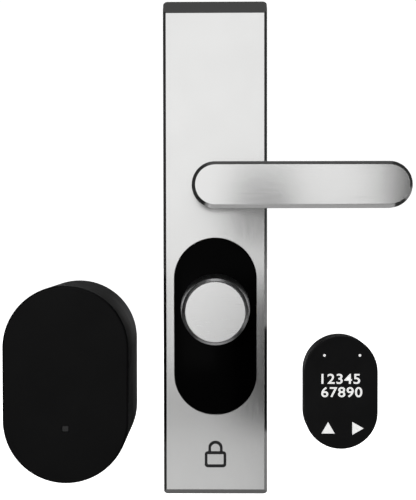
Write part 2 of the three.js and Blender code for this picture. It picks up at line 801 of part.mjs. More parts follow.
/** The inner frame: a floor over the gears, four standoffs, the battery cups and the board's posts. */
function gearChassis() {
  const { front, back } = CHASSIS;
  const floor = slab(motorOval(MOTOR.wall + 0.9), front, back);
  const rim = front - CHASSIS.cupDepth;
  const feet = standoffs.map(([x, z]) => rod(2.9, x, z, back - 0.5, BASE_FRONT - GAP));
  const posts = boardPosts.map(([x, z]) => rod(2.2, x, z, BOARD.back + GAP, front + 0.5));
  const cups = batterySeats.map(({ x, z }) => rod(CHASSIS.cup, x, z, rim, front + 0.5));
  const cavities = batterySeats.map(({ x, z }) => rod(BATTERY.radius + 0.4, x, z, rim - 1, front));
  const axles = [
    rod(3.9, motorAxis.x, motorAxis.z, front - 1, back + 1),
    rod(ADAPTER.journal + 0.4, DRIVE.x, DRIVE.z, front - 1, back + 1),
    rod(AXLE + GAP, idlerAxis.x, idlerAxis.z, front - 1, back + 1),
  ];
  return cut(join(floor, ...feet, ...posts, ...cups), ...cavities, ...axles);
}

function battery({ x, z }) {
  const { radius, front, back } = BATTERY;
  const profile = [
    [0, front - 1.4],
    [3.2, front - 1.4],
    [3.2, front],
    [radius - 0.5, front],
    [radius, front + 0.5],
    [radius, back],
    [0, back],
  ];
  return turned(profile, x, z);
}

/** The circuit board behind the cover's face, with the light's emitter and two chips on it. */
function motorBoard() {
  const lower = box(MOTOR.width, 44, MOTOR.x, MOTOR.z - 30.5);
  const { front, back } = BOARD;
  const board = slab(motorOval(MOTOR.wall + 1.2), front, back).intersect(slab(lower, front - 1, back + 1));
  const emitter = slab(box(3, 2.6, light.x, light.z), front - 0.7, front + 0.2);
  const chips = [
    slab(box(9, 9, MOTOR.x - 14, MOTOR.z - 22), back - 0.2, back + 1.4),
    slab(box(6, 10, MOTOR.x - 14, MOTOR.z - 36), back - 0.2, back + 1.2),
  ];
  return join(board, emitter, ...chips);
}

part("motor_cover", motorCover(), blackSatin);
part(
  "status_light",
  slab(roundedBox(LIGHT.width, LIGHT.height, 0.6, light.x, light.z), -MOTOR.depth, -51.2, 2),
  lightLens,
);
part("motor_base", motorBase(), greyPlastic);
part("gear_chassis", gearChassis(), greyPlastic);
part("drive_gear", driveGear(), whitePlastic);
part("drive_adapter", driveAdapter(), zincPlated);
part("idler_gear", idlerGear(), whitePlastic);
part("idler_axle", rod(AXLE, idlerAxis.x, idlerAxis.z, -15.8, -1.8), zincPlated);
part("motor_pinion", motorPinion(), brass);
part("drive_motor", driveMotor(), zincPlated);
part("motor_board", motorBoard(), boardGreen);
batterySeats.forEach((seat, i) => part(`battery_${i + 1}`, battery(seat), batteryWrap));
mountScrews.forEach((at, i) => part(`motor_mount_screw_${i + 1}`, mountScrew(at), zincPlated));

// ---- Keypad ----

const keypadOval = (inset) =>
  stadium(KEYPAD.width - 2 * inset, KEYPAD.height - 2 * inset, KEYPAD.x, KEYPAD.z);
const displayMiddle = KEYPAD.z + 3;
const cellSpots = [CELL.spacing / 2, -CELL.spacing / 2].map((dz) => KEYPAD.z + dz);
const wallScrewSpots = [WALL_SCREW_OFFSET, -WALL_SCREW_OFFSET].map((dz) => KEYPAD.z + dz);

function keypadHousing() {
  const front = KEYPAD.glass + GAP - KEYPAD.depth;
  const shell = slab(keypadOval(0), front, -0.9);
  const inside = slab(keypadOval(KEYPAD.wall), front + 1.2, 1);
  const view = slab(roundedBox(30, 27, 1, KEYPAD.x, displayMiddle), -20, -5, 1);
  return cut(shell, inside, view);
}

function keypadWallPlate() {
  const front = -WALL_PLATE;
  const countersink = [
    [0, front - 1],
    [3.9, front - 1],
    [3.9, front + 0.1],
    [1.9, front + 1.9],
    [1.9, 1],
    [0, 1],
  ];
  const holes = wallScrewSpots.map((z) => turned(countersink, KEYPAD.x, z));
  return cut(slab(keypadOval(KEYPAD.wall + 0.4), front, 0), ...holes);
}

function wallScrew(z) {
  const head = 0.1 - WALL_PLATE;
  const profile = [
    [0, head],
    [3.4, head],
    [1.6, head + 1.7],
    [1.6, 14],
    [0.3, 17],
    [0, 17],
  ];
  return turned(profile, KEYPAD.x, z).subtract(hexBar(1.3, KEYPAD.x, z, head - 1, head + 1.3));
}

function cellFrame() {
  const { radius, front, back } = CELL;
  const holes = cellSpots.map((z) => rod(radius + GAP, KEYPAD.x, z, front - 1, back + 1));
  return cut(slab(stadium(31, 54, KEYPAD.x, KEYPAD.z), front - 0.1, back), ...holes);
}

const display = slab(roundedBox(29.4, 26.4, 0.7, KEYPAD.x, displayMiddle), -11.2, -8.5, 1);
const keypadSeal = slab(keypadOval(0.3), -0.6, 0).subtract(slab(keypadOval(1.7), -1, 1));
part("keypad_glass", softSlab(keypadOval(0), -KEYPAD.depth, KEYPAD.glass - KEYPAD.depth, 0.5), blackGloss);
part("keypad_housing", keypadHousing(), blackSatin);
part("keypad_display", display, blackGloss);
part("keypad_board", slab(keypadOval(KEYPAD.wall + 0.5), -8.2, -7), boardGreen);
part("keypad_cell_frame", cellFrame(), greyPlastic);
const coinCell = (z) => rod(CELL.radius, KEYPAD.x, z, CELL.front, CELL.back);
cellSpots.forEach((z, i) => part(`coin_cell_${i + 1}`, coinCell(z), zincPlated));
part("keypad_seal", keypadSeal, blackRubber);
part("keypad_wall_plate", keypadWallPlate(), blackSatin);
wallScrewSpots.forEach((z, i) => part(`wall_plate_screw_${i + 1}`, wallScrew(z), zincPlated));

export default lockSet;
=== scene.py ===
from math import copysign, cos, pi, radians, sin, tan

import bmesh
import bpy
from mathutils import Matrix, Vector


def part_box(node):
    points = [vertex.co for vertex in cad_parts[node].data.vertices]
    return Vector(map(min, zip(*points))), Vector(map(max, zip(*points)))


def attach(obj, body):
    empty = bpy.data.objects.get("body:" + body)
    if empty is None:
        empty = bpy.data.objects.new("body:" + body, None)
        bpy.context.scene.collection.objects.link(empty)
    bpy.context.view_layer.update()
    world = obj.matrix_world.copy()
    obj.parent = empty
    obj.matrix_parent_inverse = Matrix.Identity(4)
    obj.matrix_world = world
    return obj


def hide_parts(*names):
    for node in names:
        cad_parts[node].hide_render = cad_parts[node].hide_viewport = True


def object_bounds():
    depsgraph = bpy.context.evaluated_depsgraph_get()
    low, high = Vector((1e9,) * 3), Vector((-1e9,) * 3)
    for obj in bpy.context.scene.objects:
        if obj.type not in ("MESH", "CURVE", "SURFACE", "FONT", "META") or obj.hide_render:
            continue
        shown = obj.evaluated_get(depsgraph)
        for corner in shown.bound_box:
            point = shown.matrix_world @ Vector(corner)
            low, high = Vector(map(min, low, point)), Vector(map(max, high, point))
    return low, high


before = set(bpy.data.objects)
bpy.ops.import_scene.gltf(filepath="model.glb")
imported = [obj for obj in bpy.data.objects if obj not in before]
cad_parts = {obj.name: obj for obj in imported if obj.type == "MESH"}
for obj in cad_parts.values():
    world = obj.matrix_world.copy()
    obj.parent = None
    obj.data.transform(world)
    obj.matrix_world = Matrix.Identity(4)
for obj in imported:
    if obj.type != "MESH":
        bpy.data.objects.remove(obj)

cad_low, cad_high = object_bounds()
MM = 0.001


# ---- Lines and outlines, all in the (x, z) plane or as (distance, y) profiles ----

def rounded(points, radius, steps=4):
    """An open polyline with its inner corners rounded off by arcs of the given radius."""
    made = [Vector(points[0])]
    for before, here, after in zip(points, points[1:], points[2:]):
        p, a, b = Vector(here), Vector(before) - Vector(here), Vector(after) - Vector(here)
        angle = a.angle(b)
        if radius <= 0 or angle > radians(176):
            made.append(p)
            continue
        reach = min(radius / tan(angle / 2), 0.45 * a.length, 0.45 * b.length)
        r = reach * tan(angle / 2)
        centre = p + (a.normalized() + b.normalized()).normalized() * (r / sin(angle / 2))
        start = p + a.normalized() * reach - centre
        turn = start.angle_signed(p + b.normalized() * reach - centre)
        for i in range(steps + 1):
            spun = Matrix.Rotation(-turn * i / steps, 2) @ start
            made.append(centre + spun)
    made.append(Vector(points[-1]))
    return [tuple(v) for v in made]


def circle(x, z, radius, count=96):
    """An outline maker: called with an inset, it gives the circle that much smaller."""
    def ring(inset):
        r = max(radius - inset, 1e-6)
        return [(x + r * cos(2 * pi * i / count), z + r * sin(2 * pi * i / count))
                for i in range(count)]
    return ring


def disc(x, z, radius, count=24):
    """The points of a circle."""
    return circle(x, z, radius, count)(0)


def oval(low, high, arc=48):
    """An outline maker for the oval that fills a box: straight long sides and half-round ends."""
    x, z = (low[0] + high[0]) / 2, (low[2] + high[2]) / 2
    width, height = high[0] - low[0], high[2] - low[2]

    def ring(inset):
        r = min(width, height) / 2
        dx, dz = width / 2 - r, height / 2 - r
        points = []
        for side in (0, 1):
            sign = 1 - 2 * side
            cx, cz = x + sign * dx, z + sign * dz
            first = 0 if dz > dx else -pi / 2
            for i in range(arc + 1):
                a = first + pi * (i / arc + side)
                points.append((cx + (r - inset) * cos(a), cz + (r - inset) * sin(a)))
        return points
    return ring


def round_box(low, high, radius, arc=6):
    """An outline maker for a box with round corners."""
    corners = ((high[0], low[2]), (high[0], high[2]), (low[0], high[2]), (low[0], low[2]))

    def ring(inset):
        r = max(radius - inset, 0.05 * MM)
        points = []
        for k, (x, z) in enumerate(corners):
            cx = x - copysign(inset + r, x - (low[0] + high[0]) / 2)
            cz = z - copysign(inset + r, z - (low[2] + high[2]) / 2)
            for i in range(arc + 1):
                a = -pi / 2 + (k + i / arc) * pi / 2
                points.append((cx + r * cos(a), cz + r * sin(a)))
        return points
    return ring


# ---- Meshes ----

def skin(rings, closed=False):
    """Faces between rings of as many points each: a tube with capped ends, or one that closes on itself."""
    n = len(rings[0])
    verts = [v for ring in rings for v in ring]
    faces = []
    pairs = len(rings) if closed else len(rings) - 1
    for j in range(pairs):
        a, b = j * n, (j + 1) % len(rings) * n
        for i in range(n):
            k = (i + 1) % n
            faces.append((a + i, a + k, b + k, b + i))
    if not closed:
        faces.append(tuple(range(n)))
        faces.append(tuple(range((len(rings) - 1) * n, len(rings) * n)))
    return verts, faces


def swept(outline, profile, closed=False):
    """A body from an outline maker, drawn at each (inset, y) of a profile."""
    return skin([[(x, y, z) for x, z in outline(inset)] for inset, y in profile], closed)


def turned(x, z, profile, closed=False, count=96):
    """Turns a profile of (radius, y) about the Y axis through (x, z)."""
    return swept(lambda r: disc(x, z, r, count), profile, closed)


def rod(x, z, radius, front, back, count=96):
    """A straight bar along Y with a radius in millimetres: round, or a hexagon if count is 6."""
    return turned(x, z, [(radius * MM, front), (radius * MM, back)], count=count)


def lathe(x, z, profile, soft=0.2, closed=False, count=72):
    """Turns a profile of (radius in millimetres, y) whose corners are softened, also in millimetres."""
    return turned(x, z, rounded([(r * MM, y) for r, y in profile], soft * MM, 3), closed, count)


def prism_z(section, low, high):
    return skin([[(x, y, z) for x, y in section] for z in (low, high)])


def prism_x(section, low, high):
    return skin([[(x, y, z) for y, z in section] for x in (low, high)])


def write_clean(bm, mesh):
    """Merges doubles, turns the normals out and writes the result into a mesh."""
    bmesh.ops.remove_doubles(bm, verts=bm.verts, dist=1e-7)
    bmesh.ops.recalc_face_normals(bm, faces=bm.faces)
    bm.to_mesh(mesh)
    bm.free()
    return mesh


def mesh_from(parts):
    """One mesh from (vertices, faces) pairs."""
    bm = bmesh.new()
    for verts, faces in parts:
        made = [bm.verts.new(v) for v in verts]
        for face in faces:
            bm.faces.new([made[i] for i in face])
    return write_clean(bm, bpy.data.meshes.new("made"))


def add_object(name, data):
    made = bpy.data.objects.new(name, data)
    bpy.context.scene.collection.objects.link(made)
    return made


def solid(name, *parts):
    return add_object(name, mesh_from(parts))


def bake(piece):
    """Applies a piece's modifiers to its mesh."""
    bpy.context.view_layer.update()
    graph = bpy.context.evaluated_depsgraph_get()
    mesh = bpy.data.meshes.new_from_object(piece.evaluated_get(graph))
    piece.modifiers.clear()
    piece.data = mesh


def boolean(piece, cutter_parts, operation="DIFFERENCE"):
    """Cuts, joins or intersects a piece with another closed body."""
    tool = solid("cutter", *cutter_parts)
    change = piece.modifiers.new("boolean", "BOOLEAN")
    change.operation = operation
    change.solver = "EXACT"
    change.object = tool
    bake(piece)
    bpy.data.objects.remove(tool)


def join_part(piece, part):
    """Adds a (vertices, faces) pair to a piece, without cutting where they meet."""
    bm = bmesh.new()
    bm.from_mesh(piece.data)
    bm.from_mesh(mesh_from([part]))
    bm.to_mesh(piece.data)
    bm.free()


def mesh_parts(piece):
    """A piece's mesh as a (vertices, faces) pair, and the piece removed."""
    parts = [v.co[:] for v in piece.data.vertices], [tuple(p.vertices) for p in piece.data.polygons]
    bpy.data.objects.remove(piece)
    return parts


def bevel(piece, width, segments=3, angle=25):
    soft = piece.modifiers.new("edges", "BEVEL")
    soft.width = width
    soft.segments = segments
    soft.limit_method = "ANGLE"
    soft.angle_limit = radians(angle)
    soft.use_clamp_overlap = True


def smooth(piece, angle):
    """Smooth shading, but for the edges that are sharper than the angle."""
    piece.data.polygons.foreach_set("use_smooth", [True] * len(piece.data.polygons))
    piece.data.set_sharp_from_angle(angle=radians(angle))


def place(piece, body, material, slot, *nodes, angle=32):
    """Finishes a piece: its shading, its material, the body it rides on and the CAD nodes it stands for."""
    smooth(piece, angle)
    piece.modifiers.new("shading", "WEIGHTED_NORMAL").keep_sharp = True
    piece.data.materials.clear()
    piece.data.materials.append(material)
    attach(piece, body)
    if nodes:
        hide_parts(*nodes)


def piece_from(name, parts, body, material, slot, *nodes):
    place(solid(name, *parts), body, material, slot, *nodes)


# ---- Materials ----

def node(tree, kind, inputs=None, **settings):
    made = tree.nodes.new("ShaderNode" + kind)
    for key, value in settings.items():
        setattr(made, key, value)
    for key, value in (inputs or {}).items():
        socket = made.inputs[key]
        if isinstance(value, bpy.types.NodeSocket):
            tree.links.new(value, socket)
        else:
            socket.default_value = value
    return made


def coordinates(tree, stretch=(1, 1, 1)):
    place_in = node(tree, "TexCoord").outputs["Object"]
    return node(tree, "Mapping", {"Vector": place_in, "Scale": stretch}).outputs["Vector"]


def noise(tree, vector, scale, detail=2.0, roughness=0.5):
    inputs = {"Vector": vector, "Scale": scale, "Detail": detail, "Roughness": roughness}
    return node(tree, "TexNoise", inputs).outputs["Fac"]


def spread(tree, value, low, high, source=(0.3, 0.7)):
    """Maps a noise value onto low to high."""
    inputs = {"Value": value, "From Min": source[0], "From Max": source[1], "To Min": low, "To Max": high}
    return node(tree, "MapRange", inputs).outputs["Result"]


def add(tree, a, b, operation="ADD"):
    return node(tree, "Math", {0: a, 1: b}, operation=operation).outputs["Value"]


def shaded(tree, color, factor):
    """A colour multiplied by a number that varies over the surface."""
    inputs = {"Vector": color, "Scale": factor}
    return node(tree, "VectorMath", inputs, operation="SCALE").outputs["Vector"]


def finish(name, color, metallic, roughness, grain=None, grain_rough=0.05, grain_height=0.0,
           grain_tone=0.05, pits=0.0, pit_scale=3000, mottle=0.06, wear=0.0, specular=0.5, coat=0.0,
           anisotropic=0.0, along=None):
    """A procedural surface. grain stretches a fine noise along the brushing, pits is the height of a fine
    cast or moulded texture, mottle the share by which handling varies it, wear how much edges brighten,
    and along the tangent of a surface that reflects unevenly."""
    material = bpy.data.materials.new(name)
    material.use_nodes = True
    tree = material.node_tree
    shader = tree.nodes["Principled BSDF"]
    shader.inputs["Metallic"].default_value = metallic
    shader.inputs["Specular IOR Level"].default_value = specular
    shader.inputs["Coat Weight"].default_value = coat
    shader.inputs["Anisotropic"].default_value = anisotropic
    spots_per_metre = 38
    cloud = noise(tree, coordinates(tree), spots_per_metre, 3.0)
    tone = spread(tree, cloud, 1 - mottle, 1 + mottle)
    vary = 1.5 * mottle
    rough = spread(tree, cloud, roughness * (1 - vary), roughness * (1 + vary))
    height = None
    if grain:
        fine = noise(tree, coordinates(tree, grain), 1, 2.0, 0.6)
        rough = add(tree, rough, spread(tree, fine, -grain_rough, grain_rough))
        tone = add(tree, tone, spread(tree, fine, 1 - grain_tone, 1 + grain_tone), "MULTIPLY")
        height = (fine, grain_height)
    if pits:
        fine = noise(tree, coordinates(tree), pit_scale, 3.0, 0.6)
        rough = add(tree, rough, spread(tree, fine, -0.04, 0.04))
        height = (fine, pits)
    if wear:
        edge = node(tree, "NewGeometry").outputs["Pointiness"]
        tone = add(tree, tone, spread(tree, edge, 1.0, 1.0 + wear, (0.51, 0.6)), "MULTIPLY")
    if height:
        bump = node(tree, "Bump", {"Height": height[0], "Strength": 1.0, "Distance": height[1]})
        tree.links.new(bump.outputs["Normal"], shader.inputs["Normal"])
    if along:
        world = node(tree, "VectorTransform", {"Vector": along}, vector_type="VECTOR", convert_from="OBJECT",
                     convert_to="WORLD")
        tree.links.new(world.outputs["Vector"], shader.inputs["Tangent"])
    tree.links.new(shaded(tree, color, tone), shader.inputs["Base Color"])
    tree.links.new(rough, shader.inputs["Roughness"])
    return material


STEEL = (0.72, 0.72, 0.715)
# The plate's steel is the same brushed steel as STEEL, made a little darker: painted shade that dims the
# plate.
PLATE_STEEL_PAINTED_SHADE = (0.69, 0.69, 0.685)
vertical_steel = finish("steel_brushed_upright_painted_shade", PLATE_STEEL_PAINTED_SHADE, 1, 0.16, (4200, 4200, 45), 0.02, 6e-7, 0.015,
                        mottle=0.02, anisotropic=0.15, along=(1, 0, 0))
lever_steel = finish("steel_brushed_lengthwise", STEEL, 1, 0.18, (45, 4200, 4200), 0.02, 6e-7, 0.015,
                     wear=0.2, mottle=0.02, anisotropic=0.6, along=(0, 0, 1))
# The knob face's steel is the same brushed steel, made much lighter: a painted highlight that brightens the
# face.
knob_steel_painted_highlight = finish("steel_brushed_knob_painted_highlight", (0.95, 0.95, 0.945), 1, 0.3, (45, 4200, 4200), 0.03, 6e-7, 0.015,
                    mottle=0.02)
neck_steel = finish("steel_turned", STEEL, 1, 0.28, (400, 9000, 400), 0.06, 2e-6, mottle=0.03)
dark_steel = finish("steel_dark_turned", (0.38, 0.38, 0.385), 1, 0.3, (300, 5000, 300), 0.05, 2e-6,
                    mottle=0.05)
black_oxide = finish("steel_black_oxide", (0.04, 0.04, 0.042), 1, 0.4, pits=4e-6, pit_scale=5000, mottle=0.1)
cast_zinc = finish("zinc_cast", (0.32, 0.325, 0.33), 1, 0.52, pits=2.5e-5, pit_scale=2600, mottle=0.1,
                   wear=0.3)
zinc_plated = finish("zinc_plated", (0.55, 0.57, 0.6), 1, 0.27, (900, 2200, 900), 0.08, 3e-6, mottle=0.08)
cylinder_nickel = finish("nickel_satin", (0.5, 0.49, 0.46), 1, 0.3, (500, 60, 3800), 0.07, 3e-6, wear=0.3)
brass = finish("brass_machined", (0.58, 0.42, 0.18), 1, 0.3, (700, 5000, 700), 0.07, 3e-6, mottle=0.08,
               wear=0.2)
spring_steel = finish("spring_steel", (0.22, 0.22, 0.23), 1, 0.32, (900, 900, 900), 0.08, 2e-6, mottle=0.12)
steel_can = finish("nickel_plated_can", (0.62, 0.61, 0.58), 1, 0.24, (700, 700, 700), 0.06, 1e-6)
black_gloss = finish("black_acrylic", (0.0008, 0.0008, 0.0009), 0, 0.09, mottle=0.12, specular=0.02)
black_glass = finish("black_glass", (0.0185, 0.0185, 0.019), 0, 0.12, mottle=0.12, specular=0.14)
black_satin = finish("black_satin_plastic", (0.0035, 0.0035, 0.0037), 0, 0.42, pits=6e-6, pit_scale=5200,
                     mottle=0.12, specular=0.12, wear=0.4)
black_nylon = finish("black_nylon", (0.008, 0.008, 0.0085), 0, 0.5, pits=1.2e-5, pit_scale=2800, specular=0.3)
foam = finish("black_foam", (0.012, 0.012, 0.012), 0, 0.95, pits=8e-5, pit_scale=1700, specular=0.2)
acetal = finish("acetal_white", (0.76, 0.74, 0.69), 0, 0.4, pits=5e-6, pit_scale=2600, mottle=0.04)
grey_plastic = finish("grey_moulded", (0.045, 0.047, 0.05), 0, 0.55, pits=1.5e-5, pit_scale=2600,
                      specular=0.4)
ink = finish("sign_enamel", (0.03, 0.03, 0.032), 0, 0.5, pits=6e-6, pit_scale=4000, specular=0.3)
print_white = finish("sign_print_white", (0.93, 0.93, 0.92), 0, 0.55, pits=2e-6, pit_scale=6000, mottle=0.02)
chip_black = finish("chip_epoxy", (0.012, 0.012, 0.013), 0, 0.5, pits=8e-6, pit_scale=6000)
solder = finish("solder", (0.7, 0.7, 0.7), 1, 0.3, pits=1e-5)
flag_black = finish("flag_black", (0.01, 0.01, 0.01), 0, 0.9, specular=0.0)


def board_material():
    """Solder resist with copper tracks showing through it as lighter lines."""
    resist = (0.012, 0.085, 0.035)
    material = finish("circuit_board", resist, 0, 0.32, pits=4e-6, pit_scale=1500, mottle=0.08)
    tree = material.node_tree
    shader = tree.nodes["Principled BSDF"]
    cells = node(tree, "TexVoronoi", {"Vector": coordinates(tree, (1, 0, 1)), "Scale": 260.0},
                 feature="DISTANCE_TO_EDGE", distance="CHEBYCHEV")
    track = spread(tree, cells.outputs["Distance"], 2.2, 1.0, (0.03, 0.05))
    tree.links.new(shaded(tree, resist, track), shader.inputs["Base Color"])
    return material


circuit_board = board_material()


def glow(name, color, strength):
    """A lit surface, with a little unevenness in its light."""
    material = finish(name, color, 0, 0.35, mottle=0.1)
    tree = material.node_tree
    shader = tree.nodes["Principled BSDF"]
    shader.inputs["Emission Strength"].default_value = strength
    lit = spread(tree, noise(tree, coordinates(tree), 900), 0.85, 1.1)
    tree.links.new(shaded(tree, color, lit), shader.inputs["Emission Color"])
    return material


light_lens = glow("light_lens", (0.012, 0.012, 0.013), 0.1)


def film_material():
    """A battery's printed film: deep blue with a plain silver band near one end."""
    blue, silver = (0.02, 0.06, 0.2), (0.45, 0.46, 0.48)
    band_front, band_back, fade = -43.6 * MM, -39.5 * MM, 0.1 * MM
    material = finish("battery_film", blue, 0, 0.3, pits=2e-6, pit_scale=900, mottle=0.05, coat=0.4)
    tree = material.node_tree
    shader = tree.nodes["Principled BSDF"]
    height = node(tree, "SeparateXYZ", {"Vector": coordinates(tree)}).outputs["Y"]
    start = spread(tree, height, 0.0, 1.0, (band_front, band_front + fade))
    end = spread(tree, height, 1.0, 0.0, (band_back - fade, band_back))
    share = add(tree, start, end, "MULTIPLY")
    # A Mix node's colour sockets share their names with others, so they go by number.
    colors = node(tree, "Mix", {0: share, 6: (*blue, 1), 7: (*silver, 1)}, data_type="RGBA")
    tone = spread(tree, noise(tree, coordinates(tree), 60), 0.92, 1.08)
    tree.links.new(shaded(tree, colors.outputs[2], tone), shader.inputs["Base Color"])
    return material


battery_film = film_material()
# The keypad's white print glows though it is only print: a painted glow that brightens it.
print_with_painted_glow = glow("print_white_painted_glow", (0.95, 0.95, 0.94), 0.55)


# ---- Places taken from the frame ----

plate_low, plate_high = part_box("front_plate")
window_low, window_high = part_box("window_panel")
lever_low, lever_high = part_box("lever_grip")
neck_low, neck_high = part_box("lever_neck")
knob_low, knob_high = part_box("knob_sleeve")
cap_low, cap_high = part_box("knob_cap")
motor_low, motor_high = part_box("motor_cover")
glass_low, glass_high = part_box("keypad_glass")
housing_low, housing_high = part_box("keypad_housing")


def middle(low, high):
    return (low + high) / 2


lever_axis = middle(neck_low, neck_high)
knob_axis = middle(knob_low, knob_high)
motor_middle = middle(motor_low, motor_high)
keypad_middle = middle(glass_low, glass_high)
face_y = plate_low.y


# ---- Driving sizes ----

SKIN = 1.8 * MM  # how thick the folded steel is
EDGE = 0.3 * MM  # the small radius on every folded edge
TOP_SLOPE = (8.8 * MM, 7.5 * MM)  # height on the front, depth
BOTTOM_SLOPE = 3.8 * MM
SIDE_CHAMFER = 1.8 * MM
PLATE_CORNER = 2.5 * MM
AHEAD = face_y - 2 * MM  # where cutters for the plate start
WINDOW_FLANGE = 1.25 * MM  # how far the panel reaches past the window on each side
PRINT = 0.04 * MM  # how far the print stands off the glass
BOARD_POSTS = ((-21, -33), (23, -31), (0, -45))  # from the motor unit's middle, in millimetres


# ---- Long plate ----

def plate_block(inset, back):
    """The plate's outer body, smaller by inset everywhere but at the back."""
    low, high = plate_low + Vector((inset, inset, inset)), plate_high - Vector((inset, 0, inset))
    outline = round_box(low, high, PLATE_CORNER)
    block = solid("block", swept(outline, [(0, low.y), (0, back)]))
    front = low.y
    lengthwise = [
        (back + MM, high.z), (front + TOP_SLOPE[1], high.z), (front, high.z - TOP_SLOPE[0]),
        (front, low.z + BOTTOM_SLOPE), (front + BOTTOM_SLOPE, low.z), (back + MM, low.z),
    ]
    boolean(block, [prism_x(lengthwise, low.x - MM, high.x + MM)], "INTERSECT")
    crosswise = [
        (high.x, back + MM), (high.x, front + SIDE_CHAMFER), (high.x - SIDE_CHAMFER, front),
        (low.x + SIDE_CHAMFER, front), (low.x, front + SIDE_CHAMFER), (low.x, back + MM),
    ]
    boolean(block, [prism_z(crosswise, low.z - MM, high.z + MM)], "INTERSECT")
    return block


def sign_body(front, back, grow):
    """A padlock drawn in one line of even width: a block with a bow, both hollow."""
    low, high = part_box("lock_symbol")
    line, block_height, bow_half, bow_height = 1.6 * MM, 9.6 * MM, 4.3 * MM, 12 * MM
    x = (low.x + high.x) / 2
    block = round_box(low, (high.x, 0, low.z + block_height), 2 * MM)
    bow = oval((x - bow_half, 0, high.z - bow_height), (x + bow_half, 0, high.z), 24)
    outer = [(-grow, front), (-grow, back)]
    hollow = [(line + grow, front - MM), (line + grow, back + MM)]
    made = solid("sign", swept(bow, outer))
    boolean(made, [swept(bow, hollow)])
    boolean(made, [swept(block, outer)], "UNION")
    boolean(made, [swept(block, hollow)])
    return made


def build_plate():
    plate = plate_block(0, 0)
    bevel(plate, EDGE)
    bake(plate)
    boolean(plate, [mesh_parts(plate_block(SKIN, MM))])
    rim = WINDOW_FLANGE
    flared = [(rim - EDGE - MM, face_y - MM), (rim, face_y + EDGE), (rim, 0)]
    boolean(plate, [swept(oval(window_low, window_high), flared)])
    bush_hole_r, sign_depth, sign_gap = 11.5, 0.8 * MM, 0.15 * MM
    boolean(plate, [rod(lever_axis.x, lever_axis.z, bush_hole_r, face_y - MM, 0)])
    boolean(plate, [mesh_parts(sign_body(face_y - MM, face_y + sign_depth, sign_gap))])
    plate.name = "front_plate_steel"
    place(plate, "door_side", vertical_steel, "brushed_steel", "front_plate")


build_plate()
sign = sign_body(face_y + 0.05 * MM, face_y + 0.5 * MM, 0)
sign.name = "padlock_sign"
place(sign, "door_side", ink, "symbol_ink", "lock_symbol")


def build_window_panel():
    inset = WINDOW_FLANGE + 0.25 * MM  # leaves a gap between the panel's face and the window's edge
    flange_front = -7.9 * MM
    profile = rounded([
        (8 * MM, window_low.y), (inset, window_low.y), (inset, flange_front), (0, flange_front),
        (0, window_high.y), (8 * MM, window_high.y),
    ], 0.25 * MM)
    panel = swept(oval(window_low, window_high), profile)
    piece_from("window_panel_acrylic", [panel], "door_side", black_gloss, "black_gloss", "window_panel")


build_window_panel()


# ---- Lever ----

def build_lever():
    edge = 2 * MM
    outline = oval(lever_low, lever_high, 64)
    profile = rounded([
        (6 * MM, lever_low.y), (edge, lever_low.y), (0, lever_low.y + edge), (0, lever_high.y - edge),
        (edge, lever_high.y), (6 * MM, lever_high.y),
    ], 0.35 * MM)
    piece_from("lever_blade", [swept(outline, profile)], "lever", lever_steel, "brushed_steel", "lever_grip")
    x, z = lever_axis.x, lever_axis.z
    root = lever_high.y
    neck_r, journal_r, shoulder = 9.5 * MM, 8 * MM, -11.2 * MM
    neck = rounded([
        (0.1 * MM, root - 0.05 * MM), (10.8 * MM, root - 0.05 * MM), (10.6 * MM, root + 0.5 * MM),
        (neck_r, root + 1.4 * MM), (neck_r, shoulder), (journal_r, shoulder), (journal_r, neck_high.y),
        (0.1 * MM, neck_high.y),
    ], 0.4 * MM)
    piece = solid("lever_neck_steel", turned(x, z, neck))
    screw_y = middle(*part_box("lever_set_screw")).y
    boolean(piece, [prism_z(disc(x, screw_y, 2.6 * MM, 32), z - 11 * MM, z - 5 * MM)])
    place(piece, "lever", neck_steel, "brushed_steel", "lever_neck")
    bush_low, bush_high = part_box("lever_bush")
    bush = rounded([
        (8.3 * MM, bush_low.y), (10.8 * MM, bush_low.y), (11.2 * MM, bush_low.y + 0.4 * MM),
        (11.2 * MM, bush_high.y), (8.3 * MM, bush_high.y), (8.3 * MM, bush_low.y + MM),
    ], 0.25 * MM)
    piece_from("lever_bush_ring", [turned(x, z, bush, closed=True)], "door_side", black_nylon, "black_satin",
               "lever_bush")


build_lever()


# ---- Knob ----

def build_knob():
    x, z = knob_axis.x, knob_axis.z
    back_r = (knob_high.x - knob_low.x) / 2
    front, back = knob_low.y, knob_high.y
    front_r, seat_r, bore_r = 19.2 * MM, 17.72 * MM, 8.3 * MM
    sleeve = rounded([
        (bore_r, back), (back_r - 0.5 * MM, back), (back_r, back - 0.5 * MM), (front_r, front + 0.9 * MM),
        (front_r - 1.4 * MM, front), (seat_r, front), (seat_r, front + 3 * MM), (12 * MM, front + 3 * MM),
        (bore_r, back - 3 * MM),
    ], 0.3 * MM, 5)
    piece_from("knob_ring", [turned(x, z, sleeve, closed=True, count=160)], "knob", dark_steel, "dark_steel",
               "knob_sleeve")
    cap_r = (cap_high.x - cap_low.x) / 2
    cap = rounded([
        (0.1 * MM, cap_low.y), (cap_r - 0.35 * MM, cap_low.y), (cap_r, cap_low.y + 0.35 * MM),
        (cap_r, front + 2.8 * MM), (0.1 * MM, front + 2.8 * MM),
    ], 0.12 * MM, 4)
    piece_from("knob_face", [turned(x, z, cap, count=160)], "knob", knob_steel_painted_highlight, "brushed_steel", "knob_cap")


build_knob()


# ---- Motor unit's cover and light ----

